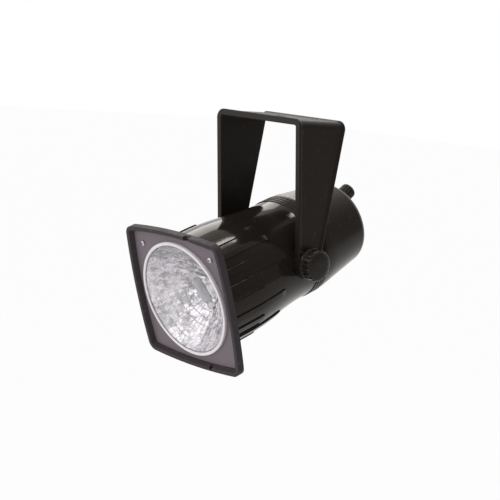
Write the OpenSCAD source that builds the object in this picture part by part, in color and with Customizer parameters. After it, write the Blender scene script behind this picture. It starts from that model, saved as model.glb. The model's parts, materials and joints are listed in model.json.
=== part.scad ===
// Small stage spot: a square front frame, a ribbed barrel, a bell-shaped rear casing and a tilting yoke.
// Millimetres. The origin is the centre of the clamp hole on the yoke's top face, +Z is up and the lamp
// faces -Y. In the head's own frame Y is the station: the distance behind the front of the lens ring.

/* [Front frame] */
// Side of the square frame between its corner points
frame_w = 137; // [120:0.5:155]
// How far each side of the frame bows outwards at its middle
frame_bow = 4; // [1:0.5:8]
// Radius of the frame's corners
frame_corner_r = 10; // [8:0.5:14]
// Width of the frame's front rim
frame_rim = 6; // [4:0.5:8]
// Width of the face plate between the rim and the lens ring, without the bow
face_border = 2; // [1:0.1:6]
// How far the rim stands in front of the lens ring
frame_proud = 2.2; // [1:0.1:5]
// Thickness of the ledge inside the frame that the face plate lies on
frame_ledge_t = 1.2; // [1:0.1:3]
// Thickness of the face plate
face_t = 1.2; // [1:0.1:2.5]
// Distance of the rim's two notches from the middle of its sides
notch_x = 26; // [10:0.5:40]
// Width of the upper notch
notch_w = 8; // [4:0.5:12]
// Depth of the notches from the rim's front
notch_d = 2; // [1:0.1:3]
// Distance of each face screw from the rim's inner sides
face_screw_inset = 11.5; // [9:0.1:14]

/* [Lens and lamp] */
// Width of the ring seen from the front
ring_w = 4.4; // [4:0.1:6]
// Height of the ring above the face plate
ring_h = 3; // [2.4:0.1:5]
// How far the ring reaches outside the lamp
ring_seat = 3.5; // [3:0.1:4]
// Rise of the convex lens
lens_rise = 2.6; // [1:0.1:4]
// Thickness of the lens glass
lens_t = 3; // [2:0.1:5]
// Focal length of the reflector bowl
focus = 18; // [16:0.5:22]
// Thickness of the reflector bowl's rim
bowl_rim_t = 2.8; // [2:0.1:5]
// Number of facets round the bowl
facets = 32; // [16:2:48]
// Number of facet rows from the bowl's mouth to its bottom
facet_rows = 8; // [4:1:12]
// Outside diameter of the lamp's glass capsule
capsule_d = 10; // [8:0.5:12]
// Length of the capsule's round bulb
capsule_l = 30; // [24:1:34]
// Lean of the capsule from the vertical, seen from the front
capsule_lean = 35; // [0:1:60]

/* [Barrel] */
// Wall of the barrel round the lamp, between the ribs
pocket_wall = 3.5; // [3:0.1:6]
// How far the neck behind the barrel lies inside the ridges of the neck ring
neck_step = 0.9; // [0.5:0.1:3]
// Wall thickness of the barrel
barrel_wall = 2.8; // [2:0.1:3.2]
// Station where the barrel starts to narrow
narrow_start = 42; // [30:1:50]
// Station where the barrel has narrowed to the neck
narrow_end = 134; // [110:1:135]
// Thickness of the flange behind the frame
flange_t = 2; // [1.5:0.1:4]
// Height of the ribs
rib_h = 1.5; // [0.8:0.1:2.5]
// Width of the ribs
rib_w = 6; // [3:0.5:8]
// Angle from one rib to the next
rib_pitch = 15; // [12:1:20]
// Station where the long ribs end
rib_long_end = 86; // [70:1:95]
// Station where the short ribs end
rib_short_end = 56; // [40:1:65]
// Angle on each side of the top that has no ribs
rib_bare = 24; // [10:1:40]
// Width of the air slots under the barrel
slot_w = 3; // [2:0.1:3.6]
// Length of the air slots
slot_l = 30; // [15:1:34]

/* [Neck and rear casing] */
// Station where the ridged neck ring starts
collar_start = 137; // [136:1:145]
// Number of ridges on the neck ring
ridges = 4; // [3:1:5]
// Distance from one ridge to the next
ridge_pitch = 4; // [3.6:0.1:5]
// Outside radius of the ridges
ridge_r = 54.4; // [48:0.1:59]
// How far the front of the rear casing lies inside the ridges
casing_step = 0.8; // [0.4:0.1:1.5]
// Length of the rear casing
casing_l = 71.6; // [66:0.1:85]
// Taper of the casing's side
casing_taper = 8.7; // [5:0.1:11]
// Radius of the casing's rear edge
casing_edge_r = 12; // [8:0.5:14]
// Wall thickness of the casing
casing_wall = 2.5; // [2:0.1:3]

/* [Cable gland] */
// Height of the gland above the optical axis at the casing's back
gland_z = 20; // [16:0.5:22]
// Upward tilt of the gland
gland_tilt = 17; // [0:1:20]
// Diameter of the gland's cap
gland_d = 17; // [15:0.5:19]
// Length of the gland outside its boss
gland_l = 22.5; // [18:0.5:26]
// Diameter of the cable that the gland takes
cable_d = 7.2; // [5:0.1:8]

/* [Yoke] */
// Angle that the lamp is aimed down
aim_down = 20; // [0:1:40]
// Station of the tilt axis
pivot_s = 118.3; // [112:0.1:122]
// Height of the tilt axis above the optical axis
pivot_rise = 3; // [0:0.5:5]
// How far the lamp tilts up from its aim
tilt_up = 50; // [30:1:55]
// How far the lamp tilts down from its aim
tilt_down = 70; // [40:1:70]
// Gap between the neck ring and each arm
arm_gap = 0.7; // [0.6:0.05:4]
// Gap between the gland's path and the yoke's top
top_gap = 3.6; // [2:0.1:20]
// Depth of the yoke from front to back at its top
yoke_depth = 65.3; // [50:0.1:72]
// Width of each arm at the tilt axis
arm_w = 30; // [26:0.5:32]
// Thickness of the yoke
yoke_t = 6.5; // [5:0.1:8]
// Outside radius of the yoke's two bends
bend_r = 9; // [8.5:0.5:14]
// Diameter of the clamp hole
clamp_d = 10.5; // [8:0.1:13]

/* [Knobs] */
// Diameter of the knobs
knob_d = 33; // [28:0.5:38]
// Height of the knobs
knob_h = 15; // [12:0.5:20]
// Number of flutes round a knob
flutes = 18; // [10:1:24]
// Diameter of the studs
stud_d = 8; // [6:0.1:9]
// Length of each stud inside the barrel
stud_reach = 14; // [10:0.5:18]
// Thickness of the friction discs between barrel and arms
disc_t = 2; // [1:0.1:2.4]
// Thickness of the washers under the knobs
washer_t = 1.5; // [1:0.1:3]

/* [Inside] */
// Thickness of the chassis plate
plate_t = 1.5; // [1:0.1:2.5]
// Height of the transformer's core
core_h = 37; // [30:1:42]
// Depth of the transformer's core
core_d = 37; // [28:0.5:37]
// Thickness of the core's stack of sheets
core_t = 20; // [14:0.5:22]
// Diameter of the lamp wires
wire_d = 3; // [2:0.1:3.6]

/* [Hidden] */
$fn = 96;
over = 0.5;

// Clearances: turning fits, screw holes, the lamp in its pocket and its mouth inside its edge
running = 0.05;
hole_gap = 0.2;
lamp_gap = 0.5;
lamp_lip = 3.5;

// Stations from the front to the back
face_s = ring_h;
ledge_s = face_s + face_t;
flange_s = ledge_s + frame_ledge_t;
lip_t = 1.6;
lens_s = lip_t;
bowl_s = lens_s + lens_t;
gasket_s = bowl_s + bowl_rim_t;
gasket_t = 1.6;
seat_s = gasket_s + gasket_t;
seat_t = 2;
collar_l = ridges * ridge_pitch;
casing_s = collar_start + collar_l;
casing_end = casing_s + casing_l;
spigot_end = casing_s + 4;
plate_s = spigot_end;
inside_s = plate_s + plate_t;

// Radii from the frame inwards
frame_half = frame_w / 2;
face_screw_at = frame_half - frame_rim - face_screw_inset;
ring_r = frame_half - frame_rim - face_border;
lamp_r = ring_r - ring_seat;
pocket_r = lamp_r + lamp_gap;
barrel_r = pocket_r + pocket_wall;
mouth_r = lamp_r - lamp_lip;
seat_r = mouth_r + hole_gap / 2;
bowl_t = 2;
bowl_end = bowl_s + mouth_r * mouth_r / (4 * focus);
focus_s = bowl_end - focus;
bowl_neck_r = 12;
bowl_neck_end = bowl_end + bowl_t + 6;
neck_r = ridge_r - neck_step;
casing_r = ridge_r - casing_step;
spigot_r = casing_r - casing_wall - hole_gap;
casing_flat_l = 6;
casing_edge_s = casing_end - casing_edge_r;
casing_side_l = casing_edge_s + casing_edge_r * sin(casing_taper) - casing_s - casing_flat_l;
back_r = casing_r - casing_side_l * tan(casing_taper) - casing_edge_r * cos(casing_taper);

// Yoke
arm_x = ridge_r + arm_gap;
arm_out = arm_x + yoke_t;
pad_x = arm_x - disc_t;
disc_r = 15;
disc_seat_r = disc_r + 1;
pad_r = disc_r + 2;
swing_gap = 1;
gland_boss_l = 3;
gland_tip = gland_boss_l + gland_l;
gland_corners = [for (k = [-1, 1]) [
    casing_end - pivot_s + gland_tip * cos(gland_tilt) - k * gland_d / 2 * sin(gland_tilt),
    gland_z - pivot_rise + gland_tip * sin(gland_tilt) + k * gland_d / 2 * cos(gland_tilt)
]];
rear_reach = max([for (c = gland_corners) norm(c)]);
yoke_h = rear_reach + top_gap + yoke_t;

// Knobs and studs
stud_r = stud_d / 2;
insert_r = stud_r + 2.5;
knob_cap = 5;
knob_x = arm_out + washer_t;
stud_end = knob_x + knob_h - knob_cap;

// Face screws, casing screws and chassis screws
small_screw_r = 1.5;
screw_r = 2;
post_r = 4;
post_at = back_r - post_r;
post_angles = [35, 145, 215, 325];
post_thread = 8;
boss_r = 4;
boss_at = spigot_r - barrel_wall - boss_r / 2;
boss_l = 12;
boss_angles = [60, 180, 300];
screw_wall = 2;
face_boss_l = 6;
face_hole_l = flange_t / 2 + face_boss_l - screw_wall;

// Transformer
leg_w = core_h / 6;
coil_gap = 0.4;
coil_out = 5;
strap_t = 1.2;
foot_l = 6;
strap_w = 12;

// Terminal block and lamp wires
block_inset = 12.3;
block_z = spigot_r - block_inset;
block_w = 26;
block_h = 11;
block_d = 14;
wire_gap = 7;
wire_clear = 1.2;
wire_steps = 14;
terminal_at = 6;
terminal_l = 5;

black = "#1b1a1a";
dark = "#2b2a2b";
grey = "#6f6a70";
steel = "#b9bbbd";
brass = "#b99a52";

// Frames

module head() {
    translate([0, 0, -yoke_h]) rotate([aim_down, 0, 0]) translate([0, -pivot_s, -pivot_rise]) children();
}

module pivot() {
    translate([0, 0, -yoke_h]) rotate([aim_down, 0, 0]) children();
}

module gland_axis() {
    translate([0, casing_end, gland_z]) rotate([gland_tilt, 0, 0]) children();
}

// A profile of radius and station, turned round the optical axis
module turned() {
    rotate([-90, 0, 0]) rotate_extrude() children();
}

// An outline of width and height, as a plate from station s
module plate(s, t) {
    translate([0, s + t, 0]) rotate([90, 0, 0]) linear_extrude(t) children();
}

// A round bar along the optical axis from station s
module bar(r, s, l) {
    translate([0, s, 0]) rotate([-90, 0, 0]) cylinder(r = r, h = l);
}

// A round bar along X from x0 to x1
module cross_bar(r, x0, x1) {
    translate([x0, 0, 0]) rotate([0, 90, 0]) cylinder(r = r, h = x1 - x0);
}

// A round bar between two points
module rod(from, to, r) {
    d = to - from;
    translate(from) rotate([0, acos(d.z / norm(d)), atan2(d.y, d.x)])
        cylinder(r = r, h = norm(d), $fn = 24);
}

// Places children at each angle of a list, at radius r round the optical axis
module around(angles, r) {
    for (a = angles) translate([r * cos(a), 0, r * sin(a)]) children();
}

module both_sides() {
    children();
    mirror([1, 0, 0]) children();
}

// A square with bowed sides and round corners, both as arcs

function turn(p, a) = [p.x * cos(a) - p.y * sin(a), p.x * sin(a) + p.y * cos(a)];
function arc(c, r, from, to, n) = [for (i = [0 : n]) c + r * [cos(from + (to - from) * i / n),
                                                             sin(from + (to - from) * i / n)]];
function bowed_side(side_r, side_y, c, r) =
    let (lean = atan2(c, c - side_y))
    concat(arc([0, side_y], side_r, 90 - lean, 90 + lean, 9), arc([-c, c], r, 90 + lean, 180 - lean, 6));

module bowed_square(inset) {
    half = frame_half - inset;
    corner = frame_corner_r - inset;
    side_r = (half * half + frame_bow * frame_bow) / (2 * frame_bow);
    side_y = half + frame_bow - side_r;
    reach = side_r - corner;
    c = (side_y + sqrt(2 * reach * reach - side_y * side_y)) / 2;
    side = bowed_side(side_r, side_y, c, corner);
    polygon([for (k = [0 : 3]) each [for (p = side) turn(p, 90 * k)]]);
}

// Front frame and face

module face_screw_places() {
    for (x = [-1, 1]) translate([x * face_screw_at, 0, face_screw_at]) children();
}

rim_chamfer = 1;
hull_t = 0.1;

module front_frame() {
    color(dark) head() difference() {
        union() {
            plate(rim_chamfer - frame_proud, flange_s + frame_proud - rim_chamfer) bowed_square(0);
            hull() {
                plate(-frame_proud, hull_t) bowed_square(rim_chamfer);
                plate(rim_chamfer - frame_proud, hull_t) bowed_square(0);
            }
        }
        plate(-frame_proud - over, ledge_s + frame_proud + over) bowed_square(frame_rim);
        bar(ring_r, ledge_s - over, frame_ledge_t + 2 * over);
        face_screw_places() bar(small_screw_r + hole_gap, ledge_s - over, frame_ledge_t + 2 * over);
        rim_notch(notch_w, frame_half - frame_rim);
        rim_notch(notch_w / 2, -frame_half - frame_bow);
    }
}

// A notch across the rim, from height z up
module rim_notch(w, z) {
    translate([notch_x - w / 2, -frame_proud - over, z])
        cube([w, notch_d + over, frame_rim + frame_bow + over]);
}

module face_plate() {
    color(grey) head() difference() {
        plate(face_s, face_t) bowed_square(frame_rim + hole_gap);
        bar(pocket_r, face_s - over, face_t + 2 * over);
        face_screw_places() bar(small_screw_r + hole_gap, face_s - over, face_t + 2 * over);
    }
}

// A screw along the optical axis, its domed head's underside at station s and pointing to +Y
module pan_screw(r, s, l) {
    head_r = 2 * r;
    side_h = 0.45 * r;
    dome_h = 0.85 * r;
    translate([0, s, 0]) turned() polygon(concat(
        [[0, l], [0, -side_h - dome_h]],
        [for (a = [0 : 15 : 90]) [head_r * sin(a), -side_h - dome_h * cos(a)]],
        [[head_r, 0], [r, 0], [r, l]]
    ));
}

module face_screws() {
    reach = flange_s + face_hole_l - hole_gap - face_s;
    color(steel) head() face_screw_places() pan_screw(small_screw_r, face_s, reach);
}

// Lens ring and sealed lamp

module lens_ring() {
    soft = 0.8;
    color("white") head() turned() polygon([
        [ring_r - ring_w, lip_t], [ring_r - ring_w, soft], [ring_r - ring_w + soft, 0], [ring_r - soft, 0],
        [ring_r, soft], [ring_r, ring_h], [pocket_r, ring_h], [pocket_r, lip_t]
    ]);
}

module lamp_lens() {
    edge_r = ring_r - ring_w - hole_gap;
    steps = 12;
    dome = [for (i = [0 : steps]) [edge_r * i / steps, lens_rise * (1 - pow(i / steps, 2))]];
    color("#dfe6ea", 0.35) head() turned() polygon(concat(
        [for (p = dome) [p.x, lens_s - p.y]],
        [[lamp_r, lens_s], [lamp_r, bowl_s], [mouth_r, bowl_s]],
        [for (i = [steps : -1 : 0]) [dome[i].x * mouth_r / edge_r, bowl_s - dome[i].y]]
    ));
}

// The bowl is a closed skin of point rings: facets inside, rim, smooth back and neck

function bowl_ring(r, s, shift) = [for (j = [0 : facets - 1])
    let (a = 360 * (j + shift) / facets) [r * cos(a), s, r * sin(a)]];
function bowl_depth(r) = bowl_end - r * r / (4 * focus);
function bowl_out_r(s) = sqrt(4 * focus * (bowl_end + bowl_t - s));
function band(k) = [for (j = [0 : facets - 1])
    let (a = k * facets + j, b = k * facets + (j + 1) % facets)
    each [[a, b, a + facets], [b, b + facets, a + facets]]];

module lamp_reflector() {
    first_r = 5;
    inner = [for (k = [0 : facet_rows]) first_r + (mouth_r - first_r) * k / facet_rows];
    neck_s = bowl_end + bowl_t - pow(bowl_neck_r, 2) / (4 * focus);
    back = [for (k = [0 : facet_rows]) gasket_s + (neck_s - gasket_s) * k / facet_rows];
    last = facet_rows / 2;
    rings = concat(
        [for (k = [0 : facet_rows]) bowl_ring(inner[k], bowl_depth(inner[k]), k / 2)],
        [bowl_ring(lamp_r, bowl_s, last), bowl_ring(lamp_r, gasket_s, last)],
        [for (s = back) bowl_ring(bowl_out_r(s), s, last)],
        [bowl_ring(bowl_neck_r, bowl_neck_end, last)]
    );
    bands = [for (k = [0 : len(rings) - 2]) each band(k)];
    bottom = [for (j = [facets - 1 : -1 : 0]) j];
    top = [for (j = [0 : facets - 1]) (len(rings) - 1) * facets + j];
    color("#d9dadc") head() polyhedron([for (r = rings) each r], concat(bands, [bottom, top]));
}

// Places children at the focus, with Z along the capsule
module capsule_axis() {
    translate([0, focus_s, 0]) rotate([0, 180 - capsule_lean, 0]) children();
}

capsule_r = capsule_d / 2;
capsule_wall = 1;
pinch_l = 6;
pinch_w = 8;
pinch_t = 3;
filament_r = 0.9;
filament_l = 14;

function bulb_half(r, l) = [for (a = [0 : 15 : 90]) [r * cos(a), l / 2 - capsule_r + r * sin(a)]];

module bulb(r, l) {
    half = bulb_half(r, l);
    rotate_extrude() polygon(concat(
        [for (i = [len(half) - 1 : -1 : 0]) [half[i].x, -half[i].y]],
        half
    ));
}

module lamp_capsule() {
    color("#e8eef2", 0.4) head() capsule_axis() difference() {
        union() {
            bulb(capsule_r, capsule_l);
            for (k = [-1, 1]) translate([0, 0, k * (capsule_l + pinch_l - 1) / 2])
                cube([pinch_w, pinch_t, pinch_l + 1], center = true);
        }
        bulb(capsule_r - capsule_wall, capsule_l);
    }
}

module lamp_filament() {
    tail_r = 0.3;
    color("#8c8c90") head() capsule_axis() {
        cylinder(r = filament_r, h = filament_l, center = true, $fn = 24);
        cylinder(r = tail_r, h = capsule_l - 2 * capsule_wall, center = true, $fn = 24);
    }
}

module lamp_leads() {
    lead_r = 0.9;
    end = capsule_l / 2 + pinch_l;
    side = end * sin(capsule_lean);
    drop = end * cos(capsule_lean);
    color(steel) head() for (k = [-1, 1])
        rod([k * (side + lead_r * sin(capsule_lean)), focus_s, -k * (drop + lead_r * cos(capsule_lean))],
            [k * terminal_at, bowl_neck_end, 0], lead_r);
}

module lamp_terminals() {
    collar_t = 1.5;
    collar_r = 4;
    post_end_r = 2;
    color(brass) head() for (k = [-1, 1]) translate([k * terminal_at, 0, 0]) {
        bar(collar_r, bowl_neck_end, collar_t);
        bar(post_end_r, bowl_neck_end + collar_t, terminal_l - collar_t);
    }
}

module lamp_gasket() {
    color("#202020") head() difference() {
        bar(lamp_r, gasket_s, gasket_t);
        bar(seat_r + hole_gap, gasket_s - over, gasket_t + 2 * over);
    }
}

// The wires run from the terminals to the terminal block, easing across between the two
function ease(t) = t * t * (3 - 2 * t);
function wire_point(k, t) = [
    k * (terminal_at + (wire_gap / 2 - terminal_at) * ease(t)),
    bowl_neck_end + terminal_l + (inside_s - bowl_neck_end - terminal_l) * t,
    block_z * ease(t)
];

wire_sides = 8;

module wire(k) {
    points = [for (i = [0 : wire_steps]) let (p = wire_point(k, i / wire_steps))
        each [for (j = [0 : wire_sides - 1])
            p + wire_d / 2 * [cos(360 * j / wire_sides), 0, sin(360 * j / wire_sides)]]];
    sides = [for (i = [0 : wire_steps - 1], j = [0 : wire_sides - 1])
        let (a = i * wire_sides + j, b = i * wire_sides + (j + 1) % wire_sides)
        each [[a, b, a + wire_sides], [b, b + wire_sides, a + wire_sides]]];
    start = [for (j = [wire_sides - 1 : -1 : 0]) j];
    end = [for (j = [0 : wire_sides - 1]) wire_steps * wire_sides + j];
    polyhedron(points, concat(sides, [start, end]));
}

module lamp_wires() {
    color("#7a2a22") head() for (k = [-1, 1]) wire(k);
}

// Barrel

function barrel_at(s) =
    s <= narrow_start ? barrel_r :
    s >= narrow_end ? neck_r :
    neck_r + (barrel_r - neck_r) * (1 + cos(180 * (s - narrow_start) / narrow_l)) / 2;
narrow_l = narrow_end - narrow_start;
narrow_steps = 16;
narrowing = [for (i = [0 : narrow_steps]) narrow_start + narrow_l * i / narrow_steps];

module barrel_shell() {
    step_s = collar_start - barrel_wall;
    spigot_in = spigot_r - barrel_wall;
    turned() polygon(concat(
        [[barrel_r, flange_s]],
        [for (s = narrowing) [barrel_at(s), s]],
        [[neck_r, collar_start], [spigot_r, collar_start], [spigot_r, spigot_end]],
        [[spigot_in, spigot_end], [spigot_in, step_s], [neck_r - barrel_wall, step_s]],
        [for (i = [narrow_steps : -1 : 0]) [barrel_at(narrowing[i]) - barrel_wall, narrowing[i]]],
        [[barrel_r - barrel_wall, seat_s + seat_t], [seat_r, seat_s + seat_t], [seat_r, seat_s]],
        [[pocket_r, seat_s], [pocket_r, flange_s]]
    ));
}

// A rib follows the barrel's side and runs out at its end
module rib(angle, end) {
    run_out = 5;
    sink = 1;
    stations = concat([flange_s], [for (s = narrowing) if (s < end - run_out) s], [end - run_out]);
    spread = 2 * asin(rib_w / 2 / barrel_r);
    turn_to = -angle - spread / 2;
    rotate([-90, 0, 0]) rotate([0, 0, turn_to]) rotate_extrude(angle = spread) polygon(concat(
        [for (s = stations) [barrel_at(s) + rib_h, s]],
        [[barrel_at(end) - sink / 2, end]],
        [for (i = [len(stations) - 1 : -1 : 0]) [barrel_at(stations[i]) - sink, stations[i]]]
    ));
}

rib_count = floor((180 - rib_bare) / rib_pitch);

module barrel_ribs() {
    for (k = [-rib_count : rib_count])
        rib(-90 + k * rib_pitch, k % 2 == 0 ? rib_short_end : rib_long_end);
}

slot_s = 22;
slot_rows = 4;
slot_cut = 10;

// Slots between the lowest ribs, with round ends
module air_slots() {
    first = slot_s + slot_w / 2;
    last = slot_s + slot_l - slot_w / 2;
    for (k = [-slot_rows : slot_rows - 1]) rotate([0, 90 - (k + 0.5) * rib_pitch, 0])
        translate([barrel_r - slot_cut / 2, 0, 0]) {
            translate([0, first, -slot_w / 2]) cube([slot_cut, last - first, slot_w]);
            for (s = [first, last]) translate([0, s, 0]) cross_bar(slot_w / 2, 0, slot_cut, $fn = 24);
        }
}

// What the arms and studs need on each side of the barrel: a pad, a seat for the disc and room to swing

module side_places() {
    both_sides() translate([0, pivot_s, pivot_rise]) children();
}

module seat_backing() {
    intersection() {
        turned() polygon(concat(
            [[0, seat_s]],
            [for (s = narrowing) [barrel_at(s) - barrel_wall / 2, s]],
            [[0, narrow_end]]
        ));
        side_places() cross_bar(disc_seat_r + barrel_wall, pad_x - barrel_wall, pad_x + over);
    }
}

// A point on an arm's edge, seen along the tilt axis, for an arm at an angle from the optical axis
function arm_edge(angle, side, reach) =
    let (half = arm_w / 2 + swing_gap + reach * (yoke_depth - arm_w) / 2 / (yoke_h - bend_r))
    reach * [-cos(angle), sin(angle)] - side * half * [sin(angle), cos(angle)];

// The fan that an arm sweeps over the barrel, from its foremost to its rearmost angle
module swing_cut() {
    reach = 60;
    upright = 90 + aim_down;
    front = [for (r = [0, reach]) arm_edge(upright - tilt_up, 1, r)];
    back = [for (r = [reach, 0]) arm_edge(upright + tilt_down, -1, r)];
    translate([ridge_r, 0, 0]) rotate([90, 0, 90]) linear_extrude(barrel_r + rib_h + over - ridge_r) {
        circle(arm_w / 2 + swing_gap);
        polygon(concat(front, [[reach, front[1].y]], back));
    }
}

module front_barrel() {
    color(black) head() difference() {
        union() {
            barrel_shell();
            difference() {
                plate(flange_s, flange_t) bowed_square(frame_rim / 2);
                bar(pocket_r, flange_s - over, flange_t + 2 * over);
            }
            barrel_ribs();
            face_screw_places() bar(small_screw_r + screw_wall, flange_s + flange_t / 2, face_boss_l);
            around(boss_angles, boss_at) bar(boss_r, spigot_end - boss_l, boss_l);
            side_places() cross_bar(pad_r, pad_x - stud_reach - screw_wall, pad_x);
            seat_backing();
        }
        side_places() {
            cross_bar(disc_seat_r, pad_x, barrel_r + rib_h + over);
            swing_cut();
            cross_bar(insert_r, pad_x - stud_reach, pad_x + over);
        }
        air_slots();
        face_screw_places() bar(small_screw_r, flange_s - over, face_hole_l + over);
        around(boss_angles, boss_at) bar(small_screw_r, spigot_end - boss_l + screw_wall, boss_l);
    }
}

module insert() {
    color(brass) pivot() difference() {
        cross_bar(insert_r, pad_x - stud_reach, pad_x);
        cross_bar(stud_r + running, pad_x - stud_reach - over, pad_x + over);
    }
}

module right_insert() { insert(); }
module left_insert() { mirror([1, 0, 0]) insert(); }

// Neck ring and rear casing

module neck_ring() {
    valley_r = ridge_r - 1.7;
    inner_r = spigot_r + 0.1;
    color(black) head() turned() polygon(concat(
        [[inner_r, casing_s], [inner_r, collar_start]],
        [for (k = [0 : ridges - 1]) each [
            [valley_r, collar_start + k * ridge_pitch],
            [ridge_r - 0.4, collar_start + (k + 0.2) * ridge_pitch],
            [ridge_r, collar_start + (k + 0.35) * ridge_pitch],
            [ridge_r, collar_start + (k + 0.55) * ridge_pitch],
            [ridge_r - 0.4, collar_start + (k + 0.7) * ridge_pitch],
            [valley_r, collar_start + (k + 0.9) * ridge_pitch]
        ]],
        [[valley_r, casing_s]]
    ));
}

// The casing's outline, set in by d: a straight front, a tapered side and a round rear edge
module casing_outline(d) {
    edge_r = casing_edge_r - d;
    steps = 10;
    polygon(concat(
        [[0, casing_s], [casing_r - d, casing_s], [casing_r - d, casing_s + casing_flat_l]],
        [for (i = [0 : steps]) let (a = casing_taper + (90 - casing_taper) * i / steps)
            [back_r + edge_r * cos(a), casing_edge_s + edge_r * sin(a)]],
        [[0, casing_end - d]]
    ));
}

lock_t = 3;
gland_thread_r = 6;
gland_boss_in = 6;
gland_thread_end = gland_boss_in + lock_t + 1;
gland_boss_r = gland_d / 2 + 2.5;

module rear_casing() {
    boss_through = gland_boss_in + gland_boss_l;
    color(black) head() difference() {
        union() {
            difference() {
                turned() casing_outline(0);
                turned() casing_outline(casing_wall);
                bar(casing_r - casing_wall, casing_s - over, 2 * over);
            }
            gland_axis() bar(gland_boss_r, -gland_boss_in, boss_through);
        }
        gland_axis() bar(gland_thread_r + running, -gland_boss_in - over, boss_through + 2 * over);
        around(post_angles, post_at)
            bar(screw_r + hole_gap, casing_end - casing_wall - over, casing_wall + 2 * over);
    }
}

module casing_screws() {
    color(steel) head() around(post_angles, post_at)
        translate([0, casing_end, 0]) rotate([0, 0, 180]) pan_screw(screw_r, 0, casing_wall + post_thread);
}

// Chassis plate with what it carries

module chassis_plate() {
    color("#9da0a3") head() difference() {
        bar(spigot_r - 0.4, plate_s, plate_t);
        translate([0, 0, block_z]) {
            bar(wire_d / 2 + wire_clear, plate_s - over, plate_t + 2 * over);
            for (k = [-1, 1]) translate([k * wire_gap / 2, 0, 0])
                bar(wire_d / 2 + wire_clear, plate_s - over, plate_t + 2 * over);
        }
        around(boss_angles, boss_at) bar(small_screw_r + hole_gap, plate_s - over, plate_t + 2 * over);
        strap_screw_places() bar(small_screw_r, plate_s - over, plate_t + 2 * over);
    }
}

module chassis_screws() {
    color(steel) head() around(boss_angles, boss_at)
        translate([0, inside_s, 0]) rotate([0, 0, 180]) pan_screw(small_screw_r, 0, plate_t + boss_l / 2);
}

module chassis_posts() {
    color(steel) head() around(post_angles, post_at) difference() {
        bar(post_r, inside_s, casing_end - casing_wall - inside_s);
        bar(screw_r, casing_end - casing_wall - post_thread - screw_wall, post_thread + screw_wall + over);
    }
}

// A block with its front face at station s, centred on the optical axis
module block(w, h, s, l) {
    translate([-w / 2, s, -h / 2]) cube([w, l, h]);
}

module transformer_core() {
    color("#5b5550") head() difference() {
        block(core_t, core_h, inside_s, core_d);
        for (k = [-1, 1]) translate([0, 0, k * 1.5 * leg_w])
            block(core_t + 2 * over, leg_w, inside_s + leg_w, core_d - 2 * leg_w);
    }
}

module transformer_coil() {
    coil_w = core_t + 2 * coil_out;
    coil_h = 4 * leg_w - 2 * coil_gap;
    coil_s = inside_s + leg_w + coil_gap;
    coil_l = core_d - 2 * leg_w - 2 * coil_gap;
    color("#8a5a2e") head() difference() {
        block(coil_w, coil_h, coil_s, coil_l);
        block(core_t + 2 * coil_gap, 2 * leg_w + 2 * coil_gap, coil_s - over, coil_l + 2 * over);
    }
}

module transformer_strap() {
    color(steel) head() difference() {
        union() {
            block(strap_w, core_h + 2 * strap_t, inside_s, core_d + strap_t);
            block(strap_w, core_h + 2 * strap_t + 2 * foot_l, inside_s, strap_t);
        }
        block(strap_w + 2 * over, core_h, inside_s - over, core_d + over);
        strap_screw_places() bar(small_screw_r + hole_gap, inside_s - over, strap_t + 2 * over);
    }
}

module strap_screw_places() {
    for (k = [-1, 1]) translate([0, 0, k * (core_h / 2 + strap_t + foot_l / 2)]) children();
}

module strap_screws() {
    color(steel) head() strap_screw_places() translate([0, inside_s + strap_t, 0]) rotate([0, 0, 180])
        pan_screw(small_screw_r, 0, strap_t + plate_t + screw_wall);
}

module terminal_block() {
    screw_hole_r = 1.8;
    screw_hole_l = 4;
    ways = 3;
    color("#e6e2d6") head() translate([0, 0, block_z]) difference() {
        block(block_w, block_h, inside_s, block_d);
        for (k = [0 : ways - 1]) translate([(k - (ways - 1) / 2) * block_w / ways, 0, 0])
            bar(screw_hole_r, inside_s + block_d - screw_hole_l, screw_hole_l + over);
    }
}

// Cable gland

gland_hex_l = 5;
gland_gap = 0.5;
gland_cap_t = 4;
cable_gap = 0.5;
gland_neck_l = gland_l - gland_cap_t;
gland_neck_r = gland_d / 2 - 2;
seal_r = gland_neck_r - 1.6;

module gland_body() {
    color(dark) head() gland_axis() difference() {
        union() {
            bar(gland_thread_r, -gland_thread_end, gland_thread_end + gland_boss_l);
            translate([0, gland_boss_l, 0]) rotate([-90, 0, 0])
                cylinder(d = gland_d + 2, h = gland_hex_l, $fn = 6);
            bar(gland_neck_r, gland_boss_l, gland_neck_l);
        }
        bar(cable_d / 2 + cable_gap, -gland_thread_end - over, gland_thread_end + gland_tip);
        bar(seal_r, gland_boss_l + gland_hex_l, gland_l);
    }
}

module gland_seal() {
    color("#3a3a3c") head() gland_axis() difference() {
        bar(seal_r, gland_boss_l + gland_hex_l, gland_neck_l - gland_hex_l);
        bar(cable_d / 2, 0, gland_tip);
    }
}

module gland_nut() {
    grooves = 14;
    groove_r = 0.9;
    from = gland_boss_l + gland_hex_l + gland_gap;
    cap_r = gland_d / 2;
    soft = 3;
    color(black) head() gland_axis() difference() {
        turned() polygon(concat(
            [[0, from], [cap_r, from]],
            [for (a = [0 : 15 : 90]) [cap_r - soft + soft * cos(a), gland_tip - soft + soft * sin(a)]],
            [[0, gland_tip]]
        ));
        bar(gland_neck_r + running, from - over, gland_boss_l + gland_neck_l - from + over);
        bar(cable_d / 2 + cable_gap, from, gland_l);
        for (k = [0 : grooves - 1]) rotate([0, 360 * k / grooves, 0])
            translate([cap_r + groove_r / 2, 0, 0]) bar(groove_r, from - over, gland_tip - from - soft);
    }
}

module gland_locknut() {
    color(steel) head() gland_axis() translate([0, -gland_boss_in - lock_t, 0]) difference() {
        rotate([-90, 0, 0]) cylinder(d = 2 * gland_thread_r + 5, h = lock_t, $fn = 6);
        bar(gland_thread_r + running, -over, lock_t + 2 * over);
    }
}

// Tilt pivot, knobs and yoke

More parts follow.
